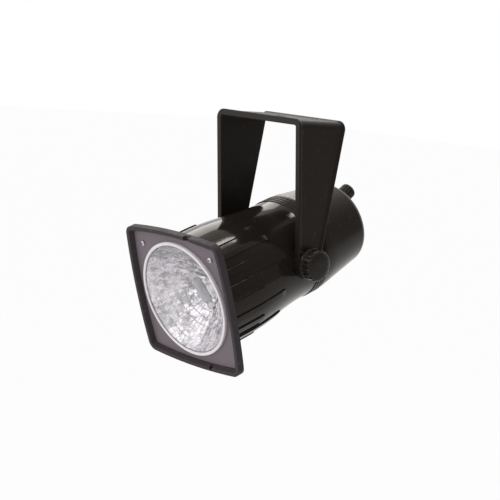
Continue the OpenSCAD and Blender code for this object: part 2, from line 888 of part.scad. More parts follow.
module disc() {
    color("#2a2623") pivot() difference() {
        cross_bar(disc_r, pad_x, arm_x);
        cross_bar(stud_r + hole_gap, pad_x - over, arm_x + over);
    }
}

module right_disc() { disc(); }
module left_disc() { mirror([1, 0, 0]) disc(); }

module washer() {
    washer_r = 11;
    color(steel) pivot() difference() {
        cross_bar(washer_r, arm_out, knob_x);
        cross_bar(stud_r + hole_gap, arm_out - over, knob_x + over);
    }
}

module right_washer() { washer(); }
module left_washer() { mirror([1, 0, 0]) washer(); }

// The knob has a plain skirt, a fluted grip and a domed end
module knob() {
    skirt_h = 2.5;
    skirt_step = 0.5;
    flute_r = 1.7;
    flute_at = knob_d / 2 + 0.3;
    dome_h = 4;
    crown = 1.2;
    grip_r = knob_d / 2;
    color(black) pivot() translate([knob_x, 0, 0]) rotate([0, 90, 0]) difference() {
        union() {
            cylinder(r = grip_r, h = skirt_h);
            intersection() {
                linear_extrude(knob_h) difference() {
                    circle(r = grip_r - skirt_step);
                    for (k = [0 : flutes - 1])
                        rotate(360 * k / flutes) translate([flute_at, 0]) circle(r = flute_r);
                }
                rotate_extrude() polygon(concat(
                    [[0, 0], [grip_r, 0]],
                    [for (a = [0 : 10 : 90])
                        [grip_r - dome_h + dome_h * cos(a), knob_h - crown - dome_h + dome_h * sin(a)]],
                    [[0, knob_h]]
                ));
            }
        }
        translate([0, 0, -over]) cylinder(r = stud_r, h = stud_end - knob_x + over);
    }
}

module right_knob() { knob(); }
module left_knob() { mirror([1, 0, 0]) knob(); }

module stud() {
    color(steel) pivot() cross_bar(stud_r, pad_x - stud_reach + 1, stud_end);
}

module right_stud() { stud(); }
module left_stud() { mirror([1, 0, 0]) stud(); }

// An arm is a tapered plate with a round end about the tilt axis
module arm_outline() {
    circle(d = arm_w);
    polygon([
        [-arm_w / 2, 0], [arm_w / 2, 0],
        [yoke_depth / 2, yoke_h - bend_r], [-yoke_depth / 2, yoke_h - bend_r]
    ]);
}

module yoke() {
    bend_x = arm_out - bend_r;
    bend_in = bend_r - yoke_t;
    hole_r = stud_r + hole_gap;
    color(black) difference() {
        union() {
            translate([-bend_x, -yoke_depth / 2, -yoke_t]) cube([2 * bend_x, yoke_depth, yoke_t]);
            both_sides() {
                translate([bend_x, yoke_depth / 2, -bend_r]) rotate([90, 0, 0]) intersection() {
                    difference() {
                        cylinder(r = bend_r, h = yoke_depth);
                        translate([0, 0, -over]) cylinder(r = bend_in, h = yoke_depth + 2 * over);
                    }
                    cube([bend_r, bend_r, yoke_depth]);
                }
                translate([arm_x, 0, -yoke_h]) rotate([90, 0, 90]) linear_extrude(yoke_t) arm_outline();
            }
        }
        translate([0, 0, -yoke_t - over]) cylinder(d = clamp_d, h = yoke_t + 2 * over);
        both_sides() translate([0, 0, -yoke_h]) cross_bar(hole_r, arm_x - over, arm_out + over);
    }
}

yoke();
front_frame();
face_plate();
face_screws();
lens_ring();
lamp_lens();
lamp_reflector();
lamp_capsule();
lamp_filament();
lamp_leads();
lamp_terminals();
lamp_gasket();
lamp_wires();
front_barrel();
right_insert();
left_insert();
neck_ring();
rear_casing();
casing_screws();
chassis_plate();
chassis_screws();
chassis_posts();
transformer_core();
transformer_coil();
transformer_strap();
strap_screws();
terminal_block();
gland_body();
gland_nut();
gland_seal();
gland_locknut();
right_disc();
left_disc();
right_washer();
left_washer();
right_knob();
left_knob();
right_stud();
left_stud();
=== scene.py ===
import json
import math

import bmesh
import bpy
from bpy.props import FloatProperty, FloatVectorProperty, IntProperty, PointerProperty
from mathutils import Matrix, Vector


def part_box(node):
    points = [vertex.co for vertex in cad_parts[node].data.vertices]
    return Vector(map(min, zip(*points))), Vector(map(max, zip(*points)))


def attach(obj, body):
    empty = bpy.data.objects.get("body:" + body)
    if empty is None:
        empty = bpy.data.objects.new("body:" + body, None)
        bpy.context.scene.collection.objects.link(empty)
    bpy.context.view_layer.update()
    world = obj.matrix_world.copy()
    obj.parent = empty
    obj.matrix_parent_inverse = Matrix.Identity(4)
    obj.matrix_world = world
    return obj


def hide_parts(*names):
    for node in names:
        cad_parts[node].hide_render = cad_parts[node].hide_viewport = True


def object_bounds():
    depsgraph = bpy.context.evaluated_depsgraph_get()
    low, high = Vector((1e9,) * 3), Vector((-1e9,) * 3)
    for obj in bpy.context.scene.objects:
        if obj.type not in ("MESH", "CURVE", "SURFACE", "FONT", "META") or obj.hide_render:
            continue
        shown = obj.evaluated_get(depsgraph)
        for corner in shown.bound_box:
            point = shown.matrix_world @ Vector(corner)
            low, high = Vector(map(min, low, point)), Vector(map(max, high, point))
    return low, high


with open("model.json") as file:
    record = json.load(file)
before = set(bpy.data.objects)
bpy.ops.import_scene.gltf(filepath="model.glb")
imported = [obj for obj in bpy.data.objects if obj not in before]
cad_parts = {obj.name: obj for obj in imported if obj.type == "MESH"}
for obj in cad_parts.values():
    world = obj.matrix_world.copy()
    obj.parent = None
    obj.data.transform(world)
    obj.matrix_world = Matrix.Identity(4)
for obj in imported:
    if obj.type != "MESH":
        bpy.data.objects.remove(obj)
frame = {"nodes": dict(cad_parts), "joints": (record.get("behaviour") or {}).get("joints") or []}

bl_info = {
    "name": "Stage spot",
    "version": (1, 0, 0),
    "blender": (4, 5, 0),
    "location": "3D View > Sidebar > Spot",
    "description": "Dresses a yoke-hung stage spot with moulded shells, bright bowl, glass and finishes",
    "category": "Object",
}

CAD_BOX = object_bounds()
MM = 0.001
FULL_TURN = 2 * math.pi
SAME_POINT = 1e-6
FACING = 0.9
HOLE_SIDES = 48
SENSOR_MM = 36
PIVOT = Vector(next(joint for joint in frame["joints"] if joint["name"] == "tilt")["pos_m"])
YOKE_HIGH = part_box("yoke")[1]


# Sizes and colours that a user would change


def length(name, description, millimetres):
    size = millimetres * MM
    return FloatProperty(name=name, description=description, default=size, unit="LENGTH", precision=5)


def angle(name, description, degrees):
    return FloatProperty(name=name, description=description, default=math.radians(degrees), subtype="ANGLE")


def count(name, description, number):
    return IntProperty(name=name, description=description, default=number, min=3)


def colour(name, description, rgb):
    return FloatVectorProperty(name=name, description=description, default=rgb, subtype="COLOR", min=0, max=1)


class HeadSizes(bpy.types.PropertyGroup):
    """Stations are distances behind the front of the lens ring, along the optical axis."""

    aim_down: angle("Aim", "Angle that the lamp is aimed down at rest", 20)
    pivot_station: length("Pivot station", "Station of the tilt axis", 118.3)
    pivot_rise: length("Pivot rise", "Height of the tilt axis above the optical axis", 3)
    frame_w: length("Frame width", "Side of the square frame between its corner points", 137)
    frame_bow: length("Frame bow", "How far each side of the frame bows outwards", 4)
    frame_corner: length("Frame corner", "Radius of the frame's corners", 10)
    frame_rim: length("Frame rim", "Width of the frame's rim at the face plate", 6)
    rim_slope: length("Rim slope", "How much narrower the rim is at its front", 2.4)
    frame_proud: length("Frame proud", "How far the rim stands in front of the lens ring", 2.2)
    frame_edge: length("Frame edge", "Rounding of the frame's edges", 1.1)
    ledge_station: length("Ledge station", "Station of the ledge behind the face plate", 4.2)
    flange_station: length("Flange station", "Station of the flange behind the frame", 5.4)
    flange_t: length("Flange", "Thickness of the flange behind the frame", 2)
    notch_x: length("Notch place", "Distance of the rim's notches from the middle of its sides", 26)
    notch_w: length("Notch width", "Width of the upper notch", 8)
    notch_d: length("Notch depth", "Depth of the notches from the rim's front", 4.4)
    notch_wall: length("Notch wall", "Wall left outside the lower notch", 2)
    screw_at: length("Face screws", "Distance of each face screw from the axis, sideways and upwards", 51)
    face_station: length("Face station", "Station of the face plate's front", 3)
    ring_r: length("Ring radius", "Outside radius of the lens ring", 60.5)
    ring_w: length("Ring width", "Width of the lens ring seen from the front", 3.2)
    ring_lip: length("Ring lip", "Depth of the glass's edge behind the ring's front", 1)
    lamp_r: length("Lamp radius", "Outside radius of the sealed lamp", 57.4)
    mouth_r: length("Bowl mouth", "Radius of the bowl at its station", 54.6)
    lens_rise: length("Lens rise", "Rise of the convex glass", 2.6)
    lens_t: length("Lens thickness", "Thickness of the glass", 1.2)
    bowl_station: length("Bowl station", "Station at which the bowl has its mouth radius", 4.6)
    focus: length("Focal length", "Focal length of the bowl", 18.75)
    bowl_t: length("Bowl wall", "Wall of the bowl", 2)
    facets: count("Facets", "Facets round the bowl", 52)
    facet_rows: count("Facet rows", "Rows of facets from the bowl's mouth to its bottom", 9)
    facet_lift: length("Facet lift", "How far the facets' corners lie off the bowl's curve", 0.6)
    facet_gap: length("Facet gap", "Width of the groove round each facet", 0.45)
    facet_sink: length("Facet sink", "Depth of each facet below its edges", 0.25)
    barrel_r: length("Barrel radius", "Outside radius of the barrel at its front", 61)
    pocket_r: length("Pocket radius", "Radius of the pocket that holds the lamp", 57.5)
    neck_r: length("Neck radius", "Outside radius of the neck", 53.5)
    barrel_wall: length("Barrel wall", "Wall of the barrel", 2.8)
    narrow_start: length("Narrowing start", "Station where the barrel starts to narrow", 42)
    narrow_end: length("Narrowing end", "Station where the barrel has narrowed to the neck", 134)
    rib_h: length("Rib height", "Height of the barrel's ribs", 1.5)
    rib_long: length("Long ribs", "Station where the long ribs end", 86)
    rib_short: length("Short ribs", "Station where the short ribs end", 56)
    rib_edge: length("Rib edge", "Rounding of the ribs' edges", 0.5)
    slot_w: length("Slot width", "Width of the air slots", 3)
    slot_l: length("Slot length", "Length of the air slots", 30)
    slot_station: length("Slot station", "Station where the air slots start", 22)
    pad_r: length("Pad radius", "Radius of the pad under each friction disc", 17)
    seat_r: length("Disc seat radius", "Radius of the seat cut for each friction disc", 16)
    tilt_up: angle("Tilt up", "How far the lamp tilts up from its aim", 50)
    tilt_down: angle("Tilt down", "How far the lamp tilts down from its aim", 70)
    collar_start: length("Neck ring start", "Station where the ridged neck ring starts", 137)
    ridges: count("Ridges", "Ridges on the neck ring", 4)
    ridge_pitch: length("Ridge pitch", "Distance from one ridge to the next", 4)
    ridge_r: length("Ridge radius", "Outside radius of the ridges", 54.4)
    ridge_depth: length("Ridge depth", "Depth of the valleys between the ridges", 1.7)
    casing_r: length("Casing radius", "Outside radius of the rear casing at its front", 53.6)
    casing_l: length("Casing length", "Length of the rear casing", 71.6)
    casing_flat: length("Casing flat", "Length of the casing's straight front", 6)
    casing_taper: angle("Casing taper", "Taper of the casing's side", 8.7)
    casing_edge: length("Casing edge", "Radius of the casing's rear edge", 12)
    casing_wall: length("Casing wall", "Wall of the rear casing", 2.5)
    label_l: length("Label length", "Length of the bare label along the casing", 24)
    label_start: length("Label start", "Gap from the neck ring to the bare label", 1.2)
    label_spread: angle("Label spread", "Angle round the casing that the bare label covers", 62)
    gland_z: length("Gland height", "Height of the cable gland above the optical axis", 20)
    gland_tilt: angle("Gland tilt", "Upward tilt of the cable gland", 17)
    gland_d: length("Gland diameter", "Diameter of the gland's cap", 17)
    gland_l: length("Gland length", "Length of the gland outside its boss", 22.5)
    gland_boss: length("Gland boss", "Height of the boss under the gland", 3)
    cable_hole: length("Cable hole", "Diameter of the hole in the gland's cap", 8.2)


class YokeSizes(bpy.types.PropertyGroup):
    """The yoke's width, depth and height come from the frame."""

    arm_w: length("Arm width", "Width of each arm at the tilt axis", 30)
    thickness: length("Thickness", "Thickness of the yoke", 6.5)
    bend_r: length("Bend radius", "Outside radius of the two bends", 9)
    edge: length("Edge", "Rounding of the yoke's edges", 1.2)
    rim_w: length("Rim width", "Width of the raised rims along the yoke's edges", 2.7)
    rim_h: length("Rim height", "Height of the rims above the sunk face between them", 1.5)
    seat_h: length("Washer seat", "Height of the flat washer seat above the tilt axis", 8)
    clamp_d: length("Clamp hole", "Diameter of the clamp hole in the top", 10.5)
    stud_d: length("Stud hole", "Diameter of the stud holes in the arms", 8.4)
    knob_d: length("Knob diameter", "Diameter of the knobs", 33)
    knob_skirt: length("Knob skirt", "Height of the knob's plain skirt", 2.5)
    knob_dome: length("Knob dome", "Height of the knob's rounded end", 4)
    flutes: count("Flutes", "Flutes round a knob", 18)
    flute_d: length("Flute depth", "Depth of the flutes", 1.6)


class SpotColours(bpy.types.PropertyGroup):
    """Colours are linear, as the shader takes them."""

    yoke_black: colour("Yoke", "Satin black of the yoke", (0.0190, 0.0155, 0.0130))
    barrel_black: colour("Barrel", "Gloss black of the barrel", (0.0212, 0.0170, 0.0140))
    casing_black: colour("Casing", "Black of the rear casing", (0.0212, 0.0170, 0.0145))
    knob_black: colour("Knobs", "Black of the knobs", (0.0220, 0.0180, 0.0160))
    frame_black: colour("Frame", "Dark satin of the front frame", (0.062, 0.051, 0.056))
    face_grey: colour("Face", "Grey paint of the face plate", (0.178, 0.144, 0.163))
    ring_white: colour("Ring", "White of the lens ring", (0.94, 0.895, 0.922))
    label_white: colour("Label", "White of the bare label", (0.68, 0.645, 0.63))
    rubber_black: colour("Rubber", "Black of the seals and discs", (0.020, 0.019, 0.019))
    sleeve_red: colour("Wires", "Red of the wires' sleeves", (0.30, 0.030, 0.020))
    block_ivory: colour("Terminal block", "Ivory of the terminal block", (0.70, 0.66, 0.56))
    bowl_silver: colour("Bowl", "Bright film of the bowl", (0.78, 0.75, 0.77))
    glass_tint: colour("Glass", "Tint of the glass", (0.965, 0.960, 0.975))


class StageSizes(bpy.types.PropertyGroup):
    """The camera stands in the frame's own axes, and the floor lies below the lamp."""

    camera_place: FloatVectorProperty(
        name="Camera", description="Place of the camera", default=(1.02833, -1.00409, 0.05825), subtype="XYZ")
    camera_turn: FloatVectorProperty(
        name="Camera turn", description="Turn of the camera", subtype="EULER",
        default=[math.radians(a) for a in (82.0206, -5.3977, 47.1731)])
    camera_lens: FloatProperty(
        name="Lens", description="Focal length on a 36 mm sensor", default=100.8, unit="CAMERA")
    floor_drop: length("Floor", "Distance of the floor below the lamp", 500)
    floor_side: length("Floor side", "Side of the floor", 24000)


def head_sizes():
    return bpy.context.scene.spot_head


def yoke_sizes():
    return bpy.context.scene.spot_yoke


def colours():
    return bpy.context.scene.spot_colours


# Modelling in edit mode


def pick(piece):
    """Only this object is selected, and it is the active one, in object mode."""
    if bpy.context.mode != "OBJECT":
        bpy.ops.object.mode_set(mode="OBJECT")
    bpy.ops.object.select_all(action="DESELECT")
    if piece:
        piece.select_set(True)
        bpy.context.view_layer.objects.active = piece


def edit(piece):
    pick(piece)
    bpy.ops.object.mode_set(mode="EDIT")


def named(name):
    piece = bpy.context.object
    piece.name = piece.data.name = name
    return piece


def select_all():
    bpy.ops.mesh.select_all(action="SELECT")


def weld():
    """Selects everything and joins the points that meet."""
    select_all()
    bpy.ops.mesh.remove_doubles(threshold=SAME_POINT)


def close_up():
    """Joins what meets and points the faces outwards."""
    weld()
    bpy.ops.mesh.normals_make_consistent(inside=False)


def extrude(move):
    bpy.ops.mesh.extrude_region_move(TRANSFORM_OT_translate={"value": move})


def begin(name):
    """A new mesh of one point at the origin, in edit mode."""
    pick(None)
    bpy.ops.mesh.primitive_plane_add(size=MM)
    piece = named(name)
    bpy.ops.object.mode_set(mode="EDIT")
    bpy.ops.mesh.select_mode(type="VERT")
    select_all()
    bpy.ops.mesh.merge(type="CENTER")
    return piece


def draw(points):
    """Moves the single point to the start of a line and extrudes it along the rest."""
    bpy.ops.transform.translate(value=points[0])
    for here, there in zip(points, points[1:]):
        extrude(there - here)


def choose(piece, kind, test):
    """Selects each FACE or VERT of the piece in edit mode whose middle and normal pass the test."""
    mesh = bmesh.from_edit_mesh(piece.data)
    bpy.ops.mesh.select_all(action="DESELECT")
    bpy.ops.mesh.select_mode(type=kind)
    for part in mesh.faces if kind == "FACE" else mesh.verts:
        middle = part.calc_center_median() if kind == "FACE" else part.co
        if test(middle, part.normal):
            part.select_set(True)
    mesh.select_flush_mode()
    bmesh.update_edit_mesh(piece.data)


def slab(name, outline, depth):
    """A flat outline, filled and extruded."""
    piece = begin(name)
    draw(outline)
    select_all()
    bpy.ops.mesh.edge_face_add()
    extrude(depth)
    close_up()
    pick(piece)
    return piece


def turned(name, profile, steps, sweep=FULL_TURN, start=0.0):
    """A closed profile of radius and station, spun round the optical axis."""
    piece = begin(name)
    ring = [Vector((r * math.cos(start), s, r * math.sin(start))) for r, s in profile]
    draw(ring + ring[:1])
    weld()
    if sweep < FULL_TURN:
        bpy.ops.mesh.edge_face_add()
    bpy.ops.mesh.spin(steps=steps, angle=sweep, center=(0, 0, 0), axis=(0, 1, 0))
    close_up()
    pick(piece)
    return piece


def place(piece, matrix):
    """Puts the place in the mesh, so that the object itself stays at the origin."""
    pick(piece)
    piece.matrix_world = matrix
    bpy.ops.object.transform_apply(location=True, rotation=True, scale=True)


def rod(name, radius, start, end, sides=HOLE_SIDES):
    """A round bar between two points, for cutting or joining."""
    pick(None)
    way = end - start
    bpy.ops.mesh.primitive_cylinder_add(vertices=sides, radius=radius, depth=way.length)
    piece = named(name)
    place(piece, Matrix.Translation((start + end) / 2) @ way.to_track_quat("Z", "Y").to_matrix().to_4x4())
    return piece


def block(name, low, high):
    """A box between two corners, for cutting."""
    pick(None)
    bpy.ops.mesh.primitive_cube_add(size=1)
    piece = named(name)
    place(piece, Matrix.Translation((low + high) / 2) @ Matrix.Diagonal((*(high - low), 1)))
    return piece


def twin(piece, name):
    """A copy with its own mesh."""
    pick(piece)
    bpy.ops.object.duplicate(linked=False)
    return named(name)


def apply_modifier(piece, kind, **settings):
    pick(piece)
    modifier = piece.modifiers.new(kind.title(), kind)
    for key, value in settings.items():
        setattr(modifier, key, value)
    bpy.ops.object.modifier_apply(modifier=modifier.name)


def combine(piece, other, operation):
    """Joins the other piece on or cuts it away. The other piece is used up."""
    apply_modifier(piece, "BOOLEAN", object=other, operation=operation, solver="EXACT")
    bpy.data.objects.remove(other)


def cut(piece, cutter):
    combine(piece, cutter, "DIFFERENCE")


def round_edges(piece, width, sharper_than=35, segments=3):
    apply_modifier(piece, "BEVEL", width=width, segments=segments, limit_method="ANGLE",
                   angle_limit=math.radians(sharper_than), miter_outer="MITER_ARC")


def clean(piece):
    """Takes out the faces and edges without size that cuts and bevels leave behind."""
    edit(piece)
    weld()
    bpy.ops.mesh.dissolve_degenerate(threshold=SAME_POINT)
    pick(piece)


def smooth(piece, degrees=40, weighted=True):
    """Cleans the mesh and shades it smooth across soft edges. Weighted normals keep flat faces flat."""
    clean(piece)
    bpy.ops.object.shade_smooth_by_angle(angle=math.radians(degrees))
    if weighted:
        apply_modifier(piece, "WEIGHTED_NORMAL", keep_sharp=True, weight=80)


def fluted(name, levels, flutes, depth):
    """A round body along Y with flutes round it. Levels are radius, height and share of the flutes' depth,
    from its base to its end."""
    per_flute = 8
    base_r, base_y, _ = levels[0]
    pick(None)
    bpy.ops.mesh.primitive_circle_add(
        vertices=flutes * per_flute, radius=base_r, fill_type="NGON", rotation=(math.pi / 2, 0, 0))
    piece = named(name)
    bpy.ops.object.transform_apply(rotation=True)
    edit(piece)
    select_all()
    bpy.ops.transform.translate(value=(0, base_y, 0))
    for (r0, y0, _), (r1, y1, _) in zip(levels, levels[1:]):
        extrude(Vector((0, y1 - y0, 0)))
        bpy.ops.transform.resize(value=(r1 / r0, 1, r1 / r0), center_override=(0, y1, 0))
    close_up()
    step = FULL_TURN / flutes / per_flute
    for r, y, share in levels:
        for phase in range(per_flute):
            groove = depth * share * max(0, -math.cos(FULL_TURN * phase / per_flute))
            if groove < SAME_POINT:
                continue
            choose(piece, "VERT", lambda at, normal: abs(at.y - y) < SAME_POINT
                   and round(math.atan2(at.z, at.x) / step) % per_flute == phase)
            bpy.ops.transform.resize(value=(1 - groove / r, 1, 1 - groove / r), center_override=(0, y, 0))
    pick(piece)
    return piece


def rounded_end(radius, top, soft, degrees):
    """Levels of a fluted body that round its end off, where the flutes run out."""
    turns = [math.radians(d) for d in degrees]
    return [(radius - soft + soft * math.cos(a), top - soft + soft * math.sin(a), math.cos(a)) for a in turns]


def head_matrix():
    """From the head's frame, with Y along the optical axis, to the part's frame."""
    sizes = head_sizes()
    lever = Vector((0, -sizes.pivot_station, -sizes.pivot_rise))
    return Matrix.Translation(PIVOT) @ Matrix.Rotation(sizes.aim_down, 4, "X") @ Matrix.Translation(lever)


def gland_matrix():
    """From the gland's own frame, with Y along it, to the head's frame."""
    sizes = head_sizes()
    seat = Vector((0, casing_end(), sizes.gland_z))
    return Matrix.Translation(seat) @ Matrix.Rotation(sizes.gland_tilt, 4, "X")


def fit(piece, body, nodes, material, matrix=None):
    """The finished piece: in its place, with its material, riding on its body for its nodes."""
    if matrix:
        place(piece, matrix)
    piece.data.materials.clear()
    piece.data.materials.append(material)
    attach(piece, body)
    if nodes:
        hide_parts(*nodes)
    pick(None)


def fit_head(piece, nodes, material, matrix=Matrix.Identity(4)):
    """A finished piece of the head, from a place in the head's frame."""
    fit(piece, "head", nodes, material, head_matrix() @ matrix)


# Outlines


def off_axis(point):
    """Distance from the optical axis."""
    return math.hypot(point.x, point.z)


def between(start, end, share):
    """The point at a share of the way from one point to another."""
    return tuple(a + (b - a) * share for a, b in zip(start, end))


def arc(centre, radius, first, last, steps):
    """Points on a circle from one angle to another, in degrees."""
    turns = [math.radians(first + (last - first) * i / steps) for i in range(steps + 1)]
    return [(centre[0] + radius * math.cos(a), centre[1] + radius * math.sin(a)) for a in turns]


def bowed_square(inset, station):
    """The frame's outline, set in: four bowed sides and four round corners, as arcs."""
    sizes = head_sizes()
    half = sizes.frame_w / 2 - inset
    corner = sizes.frame_corner - inset
    side_r = (half * half + sizes.frame_bow ** 2) / (2 * sizes.frame_bow)
    side_y = half + sizes.frame_bow - side_r
    reach = side_r - corner
    c = (side_y + math.sqrt(2 * reach * reach - side_y * side_y)) / 2
    lean = math.degrees(math.atan2(c, c - side_y))
    quarter = arc((0, side_y), side_r, 90 - lean, 90 + lean, steps=12)
    quarter += arc((-c, c), corner, 90 + lean, 180 - lean, steps=10)[1:-1]
    points = []
    for k in range(4):
        cos, sin = math.cos(k * math.pi / 2), math.sin(k * math.pi / 2)
        points += [Vector((x * cos - z * sin, station, x * sin + z * cos)) for x, z in quarter]
    return points


def barrel_at(station):
    """Outside radius of the barrel, which narrows along a wave."""
    sizes = head_sizes()
    share = (station - sizes.narrow_start) / (sizes.narrow_end - sizes.narrow_start)
    wave = (1 + math.cos(math.pi * min(max(share, 0), 1))) / 2
    return sizes.neck_r + (sizes.barrel_r - sizes.neck_r) * wave


def casing_start():
    sizes = head_sizes()
    return sizes.collar_start + sizes.ridges * sizes.ridge_pitch


def casing_end():
    return casing_start() + head_sizes().casing_l


def casing_side(inset):
    """The casing's outline from its front to the middle of its back, set in."""
    sizes = head_sizes()
    taper = sizes.casing_taper
    side_steps = 6
    edge_s = casing_end() - sizes.casing_edge
    side_l = edge_s + sizes.casing_edge * math.sin(taper) - casing_start() - sizes.casing_flat
    edge_r = sizes.casing_r - side_l * math.tan(taper) - sizes.casing_edge * math.cos(taper)
    front_r = sizes.casing_r - inset
    bend = arc((edge_r, edge_s), sizes.casing_edge - inset, math.degrees(taper), 90, steps=14)
    side_start = (front_r, casing_start() + sizes.casing_flat)
    side = [between(side_start, bend[0], i / side_steps) for i in range(side_steps)]
    return [(front_r, casing_start())] + side + bend + [(0, casing_end() - inset)]


# Materials


def node(tree, kind, links=(), **values):
    """A node with its settings. Links are (input, output socket of another node) pairs."""
    made = tree.nodes.new("ShaderNode" + kind)
    for key, value in values.items():
        if hasattr(made, key):
            setattr(made, key, value)
        else:
            made.inputs[key.replace("_", " ").title()].default_value = value
    for socket, source in links:
        tree.links.new(source, made.inputs[socket])
    return made


def arithmetic(tree, operation, *sources, clamp=False):
    """The result of a Math node on sockets."""
    return node(tree, "Math", enumerate(sources), operation=operation, use_clamp=clamp).outputs[0]


def ramp(tree, source, low, high, start=0.0, end=1.0):
    """Maps a value from the stretch between low and high to the one between start and end."""
    made = node(tree, "MapRange", [("Value", source)], from_min=low, from_max=high, to_min=start, to_max=end)
    return made.outputs["Result"]


def mix_colour(tree, mask, first, second):
    """Two colours mixed by a mask. Each is a socket or a colour."""
    made = node(tree, "Mix", [("Factor", mask)], data_type="RGBA")
    for index, value in ((6, first), (7, second)):
        if isinstance(value, bpy.types.NodeSocket):
            tree.links.new(value, made.inputs[index])
        else:
            made.inputs[index].default_value = (*value, 1)
    return made.outputs[2]


def new_group(name, inputs):
    """A finish's shader node group, its given inputs and its outputs. Inputs are colours and numbers."""
    tree = bpy.data.node_groups.new(name, "ShaderNodeTree")
    tree.interface.new_socket("Vector", in_out="INPUT", socket_type="NodeSocketVector")
    for socket, value in inputs.items():
        kind = "NodeSocketColor" if isinstance(value, tuple) else "NodeSocketFloat"
        tree.interface.new_socket(socket, in_out="INPUT", socket_type=kind).default_value = value
    for socket, kind in (("Colour", "Color"), ("Roughness", "Float"), ("Height", "Float")):
        tree.interface.new_socket(socket, in_out="OUTPUT", socket_type="NodeSocket" + kind)
    return tree, tree.nodes.new("NodeGroupInput").outputs, tree.nodes.new("NodeGroupOutput").inputs


def put_out(tree, given, out, shade, spread, height):
    """The group's colour, its roughness spread between its two limits, and its height."""
    gap = arithmetic(tree, "SUBTRACT", given["Roughest"], given["Smoothest"])
    rough = arithmetic(tree, "MULTIPLY_ADD", spread, gap, given["Smoothest"])
    for socket, source in (("Colour", shade), ("Roughness", rough), ("Height", height)):
        tree.links.new(source, out[socket])


def skin_group():
    """Moulded plastic: fine spark-eroded grain, slow flow marks and faint rub marks."""
    name = "MouldedSkin"
    if name in bpy.data.node_groups:
        return bpy.data.node_groups[name]
    tree, given, out = new_group(name, {
        "Colour": (0.01, 0.01, 0.01, 1), "Rubbed": (0.03, 0.03, 0.03, 1), "Grain": 2500,
        "Smoothest": 0.2, "Roughest": 0.35})
    at = ("Vector", given["Vector"])
    grain = node(tree, "TexNoise", [at, ("Scale", given["Grain"])], detail=2.0)
    flow = node(tree, "TexNoise", [at], scale=38.0, detail=3.0, distortion=0.6)
    rub = node(tree, "TexNoise", [at], scale=170.0, detail=6.0)
    rubbed = ramp(tree, rub.outputs["Fac"], low=0.60, high=0.80, end=0.55)
    flowed = ramp(tree, flow.outputs["Fac"], low=0.30, high=0.70)
    shade = mix_colour(tree, rubbed, given["Colour"], given["Rubbed"])
    spread = arithmetic(tree, "ADD", flowed, rubbed, clamp=True)
    put_out(tree, given, out, shade, spread, grain.outputs["Fac"])
    return tree


def metal_group():
    """Metal: drawn streaks along one axis and cloudy tone."""
    name = "DrawnMetal"
    if name in bpy.data.node_groups:
        return bpy.data.node_groups[name]
    tree, given, out = new_group(name, {
        "Bright": (0.6, 0.6, 0.6, 1), "Dull": (0.4, 0.4, 0.4, 1), "Smoothest": 0.2, "Roughest": 0.4})
    at = ("Vector", given["Vector"])
    stretched = node(tree, "Mapping", [at], scale=(1, 12, 12))
    streaks = node(tree, "TexNoise", [("Vector", stretched.outputs["Vector"])], scale=260.0, detail=4.0)
    clouds = node(tree, "TexNoise", [at], scale=120.0, detail=3.0)
    dulled = ramp(tree, clouds.outputs["Fac"], low=0.35, high=0.70)
    shade = mix_colour(tree, dulled, given["Bright"], given["Dull"])
    put_out(tree, given, out, shade, dulled, streaks.outputs["Fac"])
    return tree


def new_material(name):
    """A material with its node tree, its shader and its object coordinates."""
    material = bpy.data.materials.new(name)
    material.use_nodes = True
    tree = material.node_tree
    return material, tree, tree.nodes["Principled BSDF"], node(tree, "TexCoord").outputs["Object"]


def bump(tree, shader, height, distance, strength=0.5):
    made = node(tree, "Bump", [("Height", height)], strength=strength, distance=distance)
    tree.links.new(made.outputs["Normal"], shader.inputs["Normal"])


def from_group(name, group, values, depth, **constants):
    """A material, made once, whose colour, roughness and bump come from one group."""
    if name in bpy.data.materials:
        return bpy.data.materials[name]
    material, tree, shader, vector = new_material(name)
    made = node(tree, "Group", node_tree=group)
    tree.links.new(vector, made.inputs["Vector"])
    for socket, value in values.items():
        made.inputs[socket].default_value = (*value, 1) if hasattr(value, "__len__") else value
    tree.links.new(made.outputs["Colour"], shader.inputs["Base Color"])
    tree.links.new(made.outputs["Roughness"], shader.inputs["Roughness"])
    bump(tree, shader, made.outputs["Height"], depth)
    for socket, value in constants.items():
        shader.inputs[socket.replace("_", " ")].default_value = value
    return material


# Moulded finishes, each with the name of its colour, and metals
SKINS = {
    "yoke_satin": dict(base="yoke_black", smoothest=0.33, roughest=0.43, grain=1500,
                       depth=0.00007, shine=0.20),
    "barrel_gloss": dict(base="barrel_black", smoothest=0.07, roughest=0.14, grain=900, depth=0.00001),
    "casing_semi_gloss": dict(base="casing_black", smoothest=0.16, roughest=0.28, grain=1500),
    "neck_satin": dict(base="casing_black", smoothest=0.22, roughest=0.34, shine=0.18),
    "gland_nylon": dict(base="casing_black", smoothest=0.34, roughest=0.48, shine=0.3),
    "knob_gloss": dict(base="knob_black", smoothest=0.16, roughest=0.28, grain=1800),
    "frame_satin": dict(base="frame_black", smoothest=0.34, roughest=0.50, grain=1500,
                        depth=0.00006, shine=0.08),
    "black_rubber": dict(base="rubber_black", smoothest=0.55, roughest=0.75, grain=1800,
                         depth=0.00008, shine=0.3),
    "face_paint": dict(base="face_grey", smoothest=0.34, roughest=0.50, grain=1300, depth=0.00008, shine=0.4,
                       rubbed=1.18),
    "ring_gloss_white": dict(base="ring_white", smoothest=0.20, roughest=0.34, shine=0.45, rubbed=0.93),
    "label_paper": dict(base="label_white", smoothest=0.42, roughest=0.60, grain=1200, shine=0.4, rubbed=0.9),
    "wire_sleeve": dict(base="sleeve_red", smoothest=0.40, roughest=0.60, grain=2600, shine=0.4, rubbed=1.4),
    "terminal_ivory": dict(base="block_ivory", smoothest=0.34, roughest=0.50, shine=0.45, rubbed=0.9),
}
